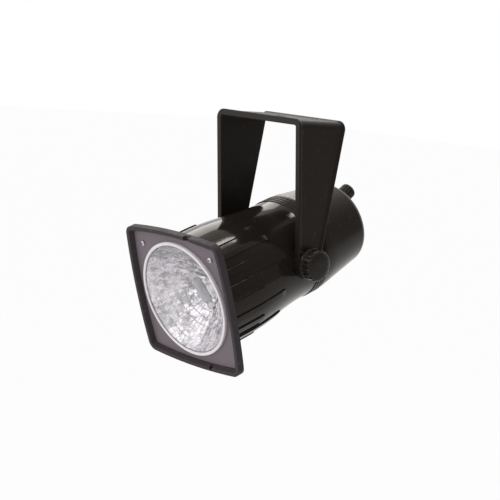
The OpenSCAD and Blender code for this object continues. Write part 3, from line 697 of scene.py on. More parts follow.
METALS = {
    "zinc_steel": dict(Bright=(0.60, 0.60, 0.62), Dull=(0.34, 0.34, 0.36), Smoothest=0.16, Roughest=0.34),
    "zinc_sheet": dict(Bright=(0.58, 0.59, 0.61), Dull=(0.42, 0.43, 0.45), Smoothest=0.26, Roughest=0.42),
    "drawn_lead": dict(Bright=(0.40, 0.29, 0.23), Dull=(0.24, 0.17, 0.14), Smoothest=0.22, Roughest=0.36),
    "turned_brass": dict(Bright=(0.66, 0.47, 0.19), Dull=(0.42, 0.28, 0.10), Smoothest=0.22, Roughest=0.40),
    "tungsten": dict(Bright=(0.42, 0.41, 0.42), Dull=(0.26, 0.26, 0.28), Smoothest=0.3, Roughest=0.5),
}
METAL_DEPTH = 0.00003
PALE_SHINE = 0.35
WARM_GLOSS = (1.0, 0.92, 0.84, 1)
WHITE = (1, 1, 1, 1)
CARD_TINT = (1.0, 0.95, 0.90)


def skin(name, base, smoothest, roughest, grain=2500, depth=0.00004, shine=0.25, rubbed=3.0):
    """A moulded finish. Shine is the shader's own specular level, and dark finishes have a warm gloss."""
    tone = getattr(colours(), base)
    worn = [min(channel * rubbed, 1) for channel in tone]
    gloss = WARM_GLOSS if shine < PALE_SHINE else WHITE
    values = {"Colour": tone, "Rubbed": worn, "Grain": grain, "Smoothest": smoothest, "Roughest": roughest}
    return from_group(name, skin_group(), values, depth, Specular_IOR_Level=shine, Specular_Tint=gloss)


def moulded(name):
    return skin(name, **SKINS[name])


def metal(name):
    return from_group(name, metal_group(), METALS[name], METAL_DEPTH, Metallic=1.0)


def bowl_material():
    """Bright film in small cells with a fine ripple in it. Each cell's colour is lighter or darker, a painted
    reflection of the room in the hammered facets, with finer painted glints and larger painted patches.
    """
    material, tree, shader, vector = new_material("bright_bowl")
    at = ("Vector", vector)
    bright = tuple(colours().bowl_silver)
    # The dim tone, mixed in by the cells, the finer cells and the patches, is painted reflection: it stands
    # in for the darker things the facets mirror.
    dim_share = 0.32
    dim = [channel * dim_share for channel in bright]
    cells = node(tree, "TexVoronoi", [at], scale=165.0)
    painted_glint_cells = node(tree, "TexVoronoi", [at], scale=420.0)
    painted_reflection_patches = node(tree, "TexNoise", [at], scale=50.0, detail=3.0)
    shades = (made.outputs["Color"] for made in (cells, painted_glint_cells))
    tone, spark = (node(tree, "SeparateColor", [("Color", shade)]) for shade in shades)
    both = arithmetic(tree, "ADD", tone.outputs["Red"], spark.outputs["Red"])
    mask = ramp(tree, arithmetic(tree, "MULTIPLY", both, painted_reflection_patches.outputs["Fac"]), low=0.15, high=1.0)
    tree.links.new(mix_colour(tree, mask, bright, dim), shader.inputs["Base Color"])
    rough = ramp(tree, tone.outputs["Green"], low=0, high=1, start=0.05, end=0.18)
    tree.links.new(rough, shader.inputs["Roughness"])
    shader.inputs["Metallic"].default_value = 1.0
    bump(tree, shader, cells.outputs["Distance"], distance=0.0012, strength=0.12)
    return material


def glass_material(name, ripple_scale, depth, roughness, clearness=1.0):
    """Pressed glass with a faint ripple. Milky glass is less clear."""
    material, tree, shader, vector = new_material(name)
    ripple = node(tree, "TexVoronoi", [("Vector", vector)], scale=ripple_scale, feature="SMOOTH_F1")
    tint = ramp(tree, ripple.outputs["Distance"], low=0.0, high=1.0)
    clear = tuple(colours().glass_tint)
    dim_share = 0.97
    dim = [channel * dim_share for channel in clear]
    tree.links.new(mix_colour(tree, tint, clear, dim), shader.inputs["Base Color"])
    shader.inputs["Transmission Weight"].default_value = clearness
    shader.inputs["Roughness"].default_value = roughness
    shader.inputs["IOR"].default_value = 1.46
    bump(tree, shader, ripple.outputs["Distance"], depth, strength=0.6)
    return material


def banded(name, first, second, bands, roughness, axis="X"):
    """Stacked sheets or wound tape: bands across one axis."""
    material, tree, shader, vector = new_material(name)
    wave = node(tree, "TexWave", [("Vector", vector)], scale=bands, bands_direction=axis, distortion=0.4)
    band = wave.outputs["Fac"]
    tree.links.new(mix_colour(tree, band, first, second), shader.inputs["Base Color"])
    rougher = 1.4 * roughness
    rough = ramp(tree, band, low=0, high=1, start=roughness, end=rougher)
    tree.links.new(rough, shader.inputs["Roughness"])
    bump(tree, shader, band, distance=0.0002, strength=0.4)
    return material


# Pieces


class SPOT_OT_yoke(bpy.types.Operator):
    """Models the U-shaped yoke: an arm, its bend and half of the top, mirrored, rimmed and rounded"""

    bl_idname = "spot.yoke"
    bl_label = "Yoke"

    def execute(self, context):
        sizes = yoke_sizes()
        outside, half_depth = YOKE_HIGH.x, YOKE_HIGH.y
        shoulder = YOKE_HIGH.z - sizes.bend_r
        outline = arc((PIVOT.y, PIVOT.z), sizes.arm_w / 2, 180, 360, steps=24)
        outline += [(half_depth, shoulder), (-half_depth, shoulder)]
        inner_face = [Vector((outside - sizes.thickness, y, z)) for y, z in outline]
        piece = slab("yoke_bow", inner_face, Vector((sizes.thickness, 0, 0)))
        self.bend(piece, Vector((outside - sizes.bend_r, 0, shoulder)))
        apply_modifier(piece, "MIRROR", use_clip=True, use_mirror_merge=True, merge_threshold=SAME_POINT)
        self.rims(sizes, piece)
        top = Vector((0, 0, 2 * sizes.thickness))
        cut(piece, rod("clamp_cut", sizes.clamp_d / 2, -top, top))
        across = Vector((outside * 2, 0, 0))
        cut(piece, rod("stud_cut", sizes.stud_d / 2, PIVOT - across, PIVOT + across))
        round_edges(piece, sizes.edge, segments=4)
        smooth(piece)
        fit(piece, "yoke", ["yoke"], moulded("yoke_satin"))
        return {"FINISHED"}

    def bend(self, piece, centre):
        """Turns the top of the arm round the bend and leads it on to the middle, where it stays open."""
        steps = 10
        edit(piece)
        choose(piece, "FACE", lambda middle, normal: normal.z > FACING)
        for _ in range(steps):
            extrude(Vector())
            bpy.ops.transform.rotate(
                value=math.pi / 2 / steps, orient_axis="Y", orient_type="GLOBAL", center_override=centre)
        extrude(Vector((-centre.x, 0, 0)))
        bpy.ops.mesh.delete(type="FACE")

    def rims(self, sizes, piece):
        """Sets in and sinks the outer face above the washers' seats, which leaves a rim along both edges."""
        seat = PIVOT.z + sizes.seat_h
        least_outward = 0.5
        edit(piece)
        close_up()
        bpy.ops.mesh.bisect(plane_co=(0, 0, seat), plane_no=(0, 0, 1))

        def outer(middle, normal):
            outward = normal.x * math.copysign(1, middle.x) + normal.z
            return middle.z > seat and outward > least_outward

        choose(piece, "FACE", outer)
        bpy.ops.mesh.inset(thickness=sizes.rim_w, use_even_offset=True)
        bpy.ops.mesh.inset(thickness=sizes.rim_h, depth=-sizes.rim_h, use_even_offset=True)


class SPOT_OT_front_frame(bpy.types.Operator):
    """Models the square front frame with bowed sides, its pocket and its two rim notches"""

    bl_idname = "spot.front_frame"
    bl_label = "Front frame"

    def execute(self, context):
        sizes = head_sizes()
        front, back = -sizes.frame_proud, sizes.flange_station
        spare = MM
        piece = slab("front_bezel", bowed_square(0, front), Vector((0, back - front, 0)))
        pocket = slab("pocket_cut", bowed_square(sizes.frame_rim, front - spare),
                      Vector((0, sizes.ledge_station - front + spare, 0)))
        self.splay(sizes, pocket)
        cut(piece, pocket)
        hole_end = Vector((0, back + spare, 0))
        cut(piece, rod("hole_cut", sizes.ring_r, Vector((0, front, 0)), hole_end, sides=128))
        rim = sizes.frame_rim + sizes.frame_bow
        notches = ((sizes.notch_w, sizes.frame_w / 2 - sizes.frame_rim - spare),
                   (sizes.notch_w / 2, -sizes.frame_w / 2 - sizes.frame_bow + sizes.notch_wall))
        for width, low_z in notches:
            low = Vector((sizes.notch_x - width / 2, front - spare, low_z))
            high = Vector((sizes.notch_x + width / 2, front + sizes.notch_d, low_z + rim + spare))
            cut(piece, block("notch_cut", low, high))
        round_edges(piece, sizes.frame_edge)
        smooth(piece)
        fit_head(piece, ["front_frame"], moulded("frame_satin"))
        return {"FINISHED"}

    def splay(self, sizes, pocket):
        """Widens the mouth of the pocket, so that the rim's inner wall slopes."""
        wider = 1 + sizes.rim_slope / (sizes.frame_w / 2 - sizes.frame_rim)
        edit(pocket)
        choose(pocket, "FACE", lambda middle, normal: normal.y < -FACING)
        bpy.ops.transform.resize(value=(wider, 1, wider), center_override=(0, 0, 0))
        pick(pocket)


class SPOT_OT_lens_ring(bpy.types.Operator):
    """Models the white lens ring with its rounded front"""

    bl_idname = "spot.lens_ring"
    bl_label = "Lens ring"

    def execute(self, context):
        sizes = head_sizes()
        soft = 0.8 * MM
        inner = sizes.ring_r - sizes.ring_w
        profile = [(inner, sizes.ring_lip)]
        profile += arc((inner + soft, soft), soft, 180, 270, steps=5)
        profile += arc((sizes.ring_r - soft, soft), soft, 270, 360, steps=5)
        profile += [(sizes.ring_r, sizes.face_station), (sizes.pocket_r, sizes.face_station),
                    (sizes.pocket_r, sizes.ring_lip)]
        piece = turned("lens_bezel", profile, steps=160)
        smooth(piece)
        fit_head(piece, ["lens_ring"], moulded("ring_gloss_white"))
        return {"FINISHED"}


class SPOT_OT_lamp(bpy.types.Operator):
    """Models the sealed lamp: faceted bowl, convex glass and the coil of its filament"""

    bl_idname = "spot.lamp"
    bl_label = "Sealed lamp"

    def execute(self, context):
        sizes = head_sizes()
        self.bowl(sizes)
        self.glass(sizes)
        self.filament()
        return {"FINISHED"}

    def bottom(self, sizes):
        """Station of the bowl's deepest point."""
        return sizes.bowl_station + sizes.mouth_r ** 2 / (4 * sizes.focus)

    def station_at(self, sizes, r):
        return self.bottom(sizes) - r * r / (4 * sizes.focus)

    def radius_at(self, sizes, station):
        return math.sqrt(4 * sizes.focus * (self.bottom(sizes) - station))

    def bowl(self, sizes):
        """The bowl's bright inside runs up round the edge of the glass to the ring."""
        first_r, rim_d = 5 * MM, 2.8 * MM
        neck_r, neck_l = 12 * MM, 6 * MM
        rows, wall = sizes.facet_rows, sizes.bowl_t
        glass_s = sizes.ring_lip
        rim_s = sizes.bowl_station + rim_d
        neck_s = self.station_at(sizes, neck_r) + wall
        end = self.bottom(sizes) + wall + neck_l
        mouth = self.radius_at(sizes, glass_s)
        inner = [first_r + (mouth - first_r) * k / rows for k in range(rows + 1)]
        outer = [rim_s + (neck_s - rim_s) * k / rows for k in range(rows + 1)]
        profile = [(r, self.station_at(sizes, r)) for r in [0] + inner]
        profile += [(sizes.lamp_r, glass_s), (sizes.lamp_r, rim_s)]
        profile += [(self.radius_at(sizes, s - wall), s) for s in outer]
        profile += [(neck_r, end), (0, end)]
        piece = turned("lamp_bowl", profile, sizes.facets)
        edit(piece)

        def inside(limit):
            def test(at, normal):
                r = off_axis(at)
                return inner[1] - MM < r < limit and abs(at.y - self.station_at(sizes, r)) < MM
            return test

        choose(piece, "VERT", inside(mouth - MM))
        bpy.ops.transform.vertex_random(offset=sizes.facet_lift, normal=1.0, seed=5)
        choose(piece, "FACE", inside(mouth))
        bpy.ops.mesh.inset(use_individual=True, thickness=sizes.facet_gap, use_even_offset=True)
        bpy.ops.transform.shrink_fatten(value=-sizes.facet_sink)
        smooth(piece, degrees=8, weighted=False)
        fit_head(piece, ["lamp_reflector"], bowl_material())

    def glass(self, sizes):
        """The glass is sealed into the bowl, so its edge reaches into the bowl's wall."""
        sunk = 0.3 * MM
        steps = 16
        front_s = sizes.ring_lip
        back_s = front_s + sizes.lens_t
        front_r, back_r = (self.radius_at(sizes, s) + sunk for s in (front_s, back_s))
        dome = [(i / steps, sizes.lens_rise * (1 - (i / steps) ** 2)) for i in range(steps + 1)]
        profile = [(front_r * share, front_s - rise) for share, rise in dome]
        profile += [(back_r * share, back_s - rise) for share, rise in reversed(dome)]
        piece = turned("lamp_glass", profile, steps=128)
        smooth(piece)
        clear = glass_material("pressed_glass", ripple_scale=140.0, depth=0.00003, roughness=0.0)
        fit_head(piece, ["lamp_lens"], clear)

    def filament(self):
        """A coil along Z, turned to lie along the capsule."""
        low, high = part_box("lamp_filament")
        wire_r, coil_r, coil_l, turns = 0.22 * MM, 0.75 * MM, 14 * MM, 12
        steps = 16
        pick(None)
        bpy.ops.mesh.primitive_circle_add(
            vertices=8, radius=wire_r, location=(coil_r, 0, -coil_l / 2), rotation=(math.pi / 2, 0, 0))
        piece = named("filament_coil")
        bpy.ops.object.transform_apply(location=True, rotation=True)
        apply_modifier(piece, "SCREW", axis="Z", angle=FULL_TURN, screw_offset=coil_l / turns,
                       iterations=turns, steps=steps, render_steps=steps)
        edit(piece)
        select_all()
        bpy.ops.mesh.fill_holes(sides=0)
        close_up()
        smooth(piece, weighted=False)
        turn = self.along("lamp_filament").to_track_quat("Z", "Y").to_matrix().to_4x4()
        matrix = Matrix.Translation((low + high) / 2) @ turn
        fit(piece, "head", ["lamp_filament"], metal("tungsten"), matrix)

    def along(self, node_name):
        """The direction in which a slim node's points spread most."""
        points = [v.co for v in frame["nodes"][node_name].data.vertices]
        middle = sum(points, Vector()) / len(points)
        return max((p - middle for p in points), key=lambda way: way.length).normalized()


class SPOT_OT_barrel(bpy.types.Operator):
    """Models the tapering barrel with its ribs, air slots, flange and the recesses for the arms"""

    bl_idname = "spot.barrel"
    bl_label = "Ribbed barrel"
    rib_pitch = 15

    def execute(self, context):
        sizes = head_sizes()
        piece = turned("barrel_shell", self.section(sizes), steps=120)
        self.ribs(sizes, piece)
        round_edges(piece, sizes.rib_edge, sharper_than=50)
        self.flange(sizes, piece)
        apply_modifier(piece, "TRIANGULATE")
        for side in (1, -1):
            self.arm_room(sizes, piece, side)
        self.slots(sizes, piece)
        self.join_triangles(piece)
        smooth(piece)
        fit_head(piece, ["front_barrel"], moulded("barrel_gloss"))
        return {"FINISHED"}

    def section(self, sizes):
        """Outside from front to back, then inside from back to front."""
        steps, inside_stride, wall = 20, 4, sizes.barrel_wall
        flange_gap, spigot_gap, rib_clear = 0.4 * MM, 0.2 * MM, 3.5 * MM
        spigot_l, seat, seat_t = 4 * MM, 9 * MM, 2 * MM
        front = sizes.flange_station + flange_gap
        span = sizes.narrow_end - sizes.narrow_start
        stations = [sizes.narrow_start + span * i / steps for i in range(steps + 1)]
        ends = [sizes.rib_short, sizes.rib_long]
        rows = [s for s in stations if all(abs(s - end) > rib_clear for end in ends)]
        rows = sorted(rows + ends + [front, sizes.slot_station])
        spigot = sizes.casing_r - sizes.casing_wall - spigot_gap
        spigot_end = casing_start() + spigot_l
        step = sizes.collar_start - wall
        outside = [(barrel_at(s), s) for s in rows] + [(sizes.neck_r, sizes.collar_start)]
        inside = [(spigot, sizes.collar_start), (spigot, spigot_end), (spigot - wall, spigot_end),
                  (spigot - wall, step), (sizes.neck_r - wall, step)]
        inside += [(barrel_at(s) - wall, s) for s in reversed(stations[::inside_stride])]
        inside += [(sizes.barrel_r - wall, seat + seat_t), (sizes.mouth_r, seat + seat_t),
                   (sizes.mouth_r, seat), (sizes.pocket_r, seat), (sizes.pocket_r, front)]
        return outside + inside

    def ribs(self, sizes, piece):
        """Raises long and short ribs by turns, from the bottom up both sides. Angles are in degrees."""
        half, last, pitch = 3, 10, self.rib_pitch
        near = 0.4 * MM
        edit(piece)

        def on_rib(middle, normal):
            turn = (math.degrees(math.atan2(middle.z, middle.x)) + 90 + 180) % 360 - 180
            k = round(turn / pitch)
            end = sizes.rib_short if k % 2 == 0 else sizes.rib_long
            on_skin = abs(off_axis(middle) - barrel_at(middle.y)) < near
            return on_skin and abs(k) <= last and abs(turn - k * pitch) < half and middle.y < end

        choose(piece, "FACE", on_rib)
        bpy.ops.mesh.extrude_region_shrink_fatten(
            TRANSFORM_OT_shrink_fatten={"value": sizes.rib_h, "use_even_offset": True})
        for end in (sizes.rib_short, sizes.rib_long):
            choose(piece, "VERT", lambda at, normal: abs(at.y - end) < near
                   and off_axis(at) > barrel_at(end) + sizes.rib_h / 2)
            bpy.ops.transform.translate(value=(0, -sizes.rib_h, 0))
        pick(piece)

    def flange(self, sizes, piece):
        soft = 0.4 * MM
        thickness = Vector((0, sizes.flange_t, 0))
        plate = slab("flange", bowed_square(sizes.frame_rim / 2, sizes.flange_station), thickness)
        spare = Vector((0, MM, 0))
        front = Vector((0, sizes.flange_station, 0))
        bore_r = (sizes.pocket_r + sizes.barrel_r) / 2
        cut(plate, rod("flange_bore", bore_r, front - spare, front + spare + thickness, sides=120))
        round_edges(plate, soft, segments=2)
        combine(piece, plate, "UNION")

    def arm_room(self, sizes, piece, side):
        """A pad and a seat for the friction disc, and the fan that the arm sweeps, cut from the side."""
        pivot = Vector((0, sizes.pivot_station, sizes.pivot_rise))
        across = Vector((side, 0, 0))
        out = across * (sizes.barrel_r + 2 * sizes.rib_h)
        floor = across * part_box("right_disc")[0].x
        pad_root = floor - across * 4 * sizes.barrel_wall
        combine(piece, rod("pad", sizes.pad_r, pivot + pad_root, pivot + floor, sides=72), "UNION")
        cut(piece, rod("seat_cut", sizes.seat_r, pivot + floor, pivot + out, sides=72))
        low = across * sizes.ridge_r
        fan = [pivot + low + Vector((0, s, z)) for s, z in self.swept(sizes)]
        cut(piece, slab("swing_cut", fan, out - low))

    def swept(self, sizes):
        """The outline an arm sweeps about the tilt axis: its front edge tilted up, its rear edge down."""
        yoke = yoke_sizes()
        reach, gap = 60 * MM, MM
        flare = (YOKE_HIGH.y - yoke.arm_w / 2) / (-PIVOT.z - yoke.bend_r)

        def edge(turn, side, along):
            half = yoke.arm_w / 2 + gap + along * flare
            return (-along * math.cos(turn) - side * half * math.sin(turn),
                    along * math.sin(turn) - side * half * math.cos(turn))

        upright = math.pi / 2 + sizes.aim_down
        front = [edge(upright - sizes.tilt_up, 1, along) for along in (0, reach)]
        back = [edge(upright + sizes.tilt_down, -1, along) for along in (reach, 0)]
        return front + [(reach, front[1][1])] + back

    def slots(self, sizes, piece):
        """Air slots between the ribs of the underside."""
        rows, reach = 4, 5 * MM
        half = sizes.slot_w / 2
        start = sizes.slot_station + half
        end = start + sizes.slot_l - sizes.slot_w
        outline = arc((end, 0), half, -90, 90, steps=8) + arc((start, 0), half, 90, 270, steps=8)
        low = [Vector((sizes.barrel_r - reach, s, z)) for s, z in outline]
        first = slab("slot_cut", low, Vector((2 * reach, 0, 0)))
        for k in range(-rows, rows):
            cutter = twin(first, "slot_cut_turned")
            place(cutter, Matrix.Rotation(math.radians(90 - (k + 0.5) * self.rib_pitch), 4, "Y"))
            cut(piece, cutter)
        bpy.data.objects.remove(first)

    def join_triangles(self, piece):
        """Joins triangles that lie nearly flat into four-sided faces."""
        flat, square = math.radians(10), math.radians(40)
        clean(piece)
        edit(piece)
        select_all()
        bpy.ops.mesh.tris_convert_to_quads(face_threshold=flat, shape_threshold=square)


class SPOT_OT_neck_ring(bpy.types.Operator):
    """Models the neck ring with its rounded ridges"""

    bl_idname = "spot.neck_ring"
    bl_label = "Neck ring"

    def execute(self, context):
        sizes = head_sizes()
        inner = sizes.casing_r - sizes.casing_wall
        valley = sizes.ridge_r - sizes.ridge_depth
        per_ridge, fullness = 10, 1.2
        profile = [(inner, casing_start()), (inner, sizes.collar_start)]
        for i in range(sizes.ridges * per_ridge + 1):
            wave = min(fullness * math.sin(math.pi * (i % per_ridge) / per_ridge), 1)
            station = sizes.collar_start + sizes.ridge_pitch * i / per_ridge
            profile.append((valley + sizes.ridge_depth * wave, station))
        piece = turned("neck_ridges", profile, steps=144)
        smooth(piece, degrees=30)
        fit_head(piece, ["neck_ring"], moulded("neck_satin"))
        return {"FINISHED"}


class SPOT_OT_rear_casing(bpy.types.Operator):
    """Models the bell-shaped rear casing with the flared boss of its cable gland"""

    bl_idname = "spot.rear_casing"
    bl_label = "Rear casing"

    def execute(self, context):
        sizes = head_sizes()
        inside = casing_side(sizes.casing_wall)
        piece = turned("rear_bell", casing_side(0) + inside[::-1], steps=144)
        step, flare, depth, soft = 2.5 * MM, 2.5 * MM, 6 * MM, 0.7 * MM
        boss_r = sizes.gland_d / 2 + step
        top = sizes.gland_boss
        profile = [(0, -depth), (boss_r, -depth), (boss_r + flare, -depth / 2)]
        profile += arc((boss_r + flare, flare / 2), flare, 250, 180, steps=6)
        profile += arc((boss_r - soft, top - soft), soft, 0, 90, steps=4) + [(0, top)]
        boss = turned("gland_boss", profile, steps=64)
        place(boss, gland_matrix())
        combine(piece, boss, "UNION")
        smooth(piece)
        fit_head(piece, ["rear_casing"], moulded("casing_semi_gloss"))
        return {"FINISHED"}


class SPOT_OT_label(bpy.types.Operator):
    """Models the bare white label on top of the rear casing"""

    bl_idname = "spot.label"
    bl_label = "Bare label"

    def execute(self, context):
        sizes = head_sizes()
        glue, paper = 0.02 * MM, 0.2 * MM
        start = casing_start() + sizes.label_start
        end = start + sizes.label_l
        low, high = (self.stretch(casing_side(-rise), start, end) for rise in (glue, glue + paper))
        first = (math.pi - sizes.label_spread) / 2
        outline = low + high[::-1]
        piece = turned("bare_label", outline, steps=28, sweep=sizes.label_spread, start=first)
        smooth(piece, degrees=30)
        fit_head(piece, [], moulded("label_paper"))
        return {"FINISHED"}

    def stretch(self, outline, first, last):
        """The outline's points between two stations, with its ends worked out on the line."""

        def at(station):
            for start, end in zip(outline, outline[1:]):
                if start[1] <= station <= end[1]:
                    return between(start, end, (station - start[1]) / (end[1] - start[1]))
            raise ValueError("the label reaches past the casing")

        return [at(first)] + [point for point in outline if first < point[1] < last] + [at(last)]


class SPOT_OT_gland(bpy.types.Operator):
    """Models the ribbed cap of the cable gland"""

    bl_idname = "spot.gland"
    bl_label = "Cable gland"

    def execute(self, context):
        sizes = head_sizes()
        collar, soft, wall, end_t = 5.5 * MM, 3 * MM, 2 * MM, 4 * MM
        ribs, rib_d, rib_edge = 14, 0.6 * MM, 0.25 * MM
        start = sizes.gland_boss + collar
        tip = sizes.gland_boss + sizes.gland_l
        cap_r = sizes.gland_d / 2
        levels = [(cap_r, start, 1), (cap_r, tip - soft, 1)]
        levels += rounded_end(cap_r, tip, soft, (22.5, 45, 67.5, 90))
        piece = fluted("gland_cap", levels, ribs, rib_d)
        below = Vector((0, start - MM, 0))
        cut(piece, rod("cable_cut", sizes.cable_hole / 2, below, Vector((0, tip + MM, 0))))
        cut(piece, rod("neck_cut", cap_r - wall, below, Vector((0, tip - end_t, 0))))
        round_edges(piece, rib_edge, sharper_than=55, segments=2)
        smooth(piece)
        fit_head(piece, ["gland_nut"], moulded("gland_nylon"), gland_matrix())
        return {"FINISHED"}


class SPOT_OT_knobs(bpy.types.Operator):
    """Models one fluted clamp knob and copies it to the other side"""

    bl_idname = "spot.knobs"
    bl_label = "Knobs"

    def execute(self, context):
        sizes = yoke_sizes()
        base, end = (corner.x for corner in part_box("right_knob"))
        step, step_h, crown, edge = 0.5 * MM, 0.3 * MM, 1.2 * MM, 0.35 * MM
        grip, skirt, dome = sizes.knob_d / 2, sizes.knob_skirt, sizes.knob_dome
        inner = grip - step
        shoulder = end - base - crown
        levels = [(grip, 0, 0), (grip, skirt - step_h, 0), (inner, skirt, 0), (inner, skirt + MM, 1)]
        levels += rounded_end(inner, shoulder, dome, range(0, 91, 15))
        for a in (math.radians(degrees) for degrees in (25, 45, 65, 80)):
            levels.append(((inner - dome) * math.cos(a), shoulder + crown * math.sin(a), 0))
        right = fluted("right_grip", levels, sizes.flutes, sizes.flute_d)
        round_edges(right, edge, sharper_than=50, segments=2)
        smooth(right)
        aim = Matrix.Rotation(head_sizes().aim_down, 4, "X")
        black = moulded("knob_gloss")
        for side, name, piece in ((-1, "left", twin(right, "left_grip")), (1, "right", right)):
            turn = Matrix.Rotation(-side * math.pi / 2, 4, "Z")
            seat = Matrix.Translation(PIVOT + Vector((side * base, 0, 0)))
            fit(piece, name + "_clamp", [name + "_knob"], black, seat @ aim @ turn)
        return {"FINISHED"}


class SPOT_OT_screws(bpy.types.Operator):
    """Models a pan-head screw with a cross recess for the face and one for the casing, and copies them"""

    bl_idname = "spot.screws"
    bl_label = "Screws"

    def execute(self, context):
        sizes = head_sizes()
        at = sizes.screw_at
        face = [Matrix.Translation((x, sizes.face_station, at)) for x in (-at, at)]
        self.copies(self.screw("face_screw", r=1.5 * MM, reach=7 * MM), face, "face_screws")
        edge_gap = 4 * MM
        post_at = casing_side(0)[-2][0] - edge_gap
        to_back = Matrix.Rotation(math.pi, 4, "Z")
        back = []
        for a in (math.radians(degrees) for degrees in (35, 145, 215, 325)):
            seat = Matrix.Translation((post_at * math.cos(a), casing_end(), post_at * math.sin(a)))
            back.append(seat @ to_back)
        self.copies(self.screw("casing_screw", r=2 * MM, reach=10.5 * MM), back, "casing_screws")
        return {"FINISHED"}

    def copies(self, first, places, node_name):
        others = [twin(first, f"{first.name}_{index}") for index in range(2, len(places) + 1)]
        for piece, matrix in zip([first] + others, places):
            fit_head(piece, [node_name], metal("zinc_steel"), matrix)

    def screw(self, name, r, reach):
        """Along Y, with its head in front of the seat at 0. All its sizes but its reach follow its radius."""
        head_r, side_h, dome_h = 2 * r, 0.45 * r, 0.85 * r
        arm, half, recess = 0.95 * r, 0.2 * r, 0.7 * r
        top = -side_h - dome_h
        turns = [math.radians(degrees) for degrees in range(15, 91, 15)]
        profile = [(0, reach), (0, top)]
        profile += [(head_r * math.sin(a), -side_h - dome_h * math.cos(a)) for a in turns]
        profile += [(head_r, 0), (r, 0), (r, reach)]
        piece = turned(name, profile, steps=32)
        for wide, high in ((arm, half), (half, arm)):
            corner = Vector((-wide, top - r, -high))
            cut(piece, block("cross_cut", corner, Vector((wide, top + recess, high))))
        smooth(piece, degrees=30, weighted=False)
        return piece


class SPOT_OT_finishes(bpy.types.Operator):
    """Gives every other piece of the frame its finish"""

    bl_idname = "spot.finishes"
    bl_label = "Finishes"

    def execute(self, context):
        capsule = glass_material(
            "capsule_glass", ripple_scale=120.0, depth=0.0002, roughness=0.15, clearness=0.72)
        core = banded("core_sheets", (0.13, 0.12, 0.11), (0.20, 0.18, 0.16), bands=420.0, roughness=0.35)
        tape = banded(
            "coil_tape", (0.46, 0.29, 0.08), (0.56, 0.37, 0.13), bands=60.0, roughness=0.45, axis="Y")
        finishes = {
            metal("zinc_steel"): ["chassis_screws", "strap_screws", "gland_locknut", "right_washer",
                                  "left_washer", "right_stud", "left_stud"],
            metal("zinc_sheet"): ["chassis_plate", "chassis_posts", "transformer_strap"],
            metal("drawn_lead"): ["lamp_leads"],
            metal("turned_brass"): ["lamp_terminals", "right_insert", "left_insert"],
            moulded("black_rubber"): ["lamp_gasket", "gland_seal", "right_disc", "left_disc"],
            moulded("wire_sleeve"): ["lamp_wires"],
            moulded("terminal_ivory"): ["terminal_block"],
            moulded("gland_nylon"): ["gland_body"],
            moulded("face_paint"): ["face_plate"],
            capsule: ["lamp_capsule"],
            core: ["transformer_core"],
            tape: ["transformer_coil"],
        }
        for material, names in finishes.items():
            for name in names:
                slots = frame["nodes"][name].data.materials
                slots.clear()
                slots.append(material)
        return {"FINISHED"}


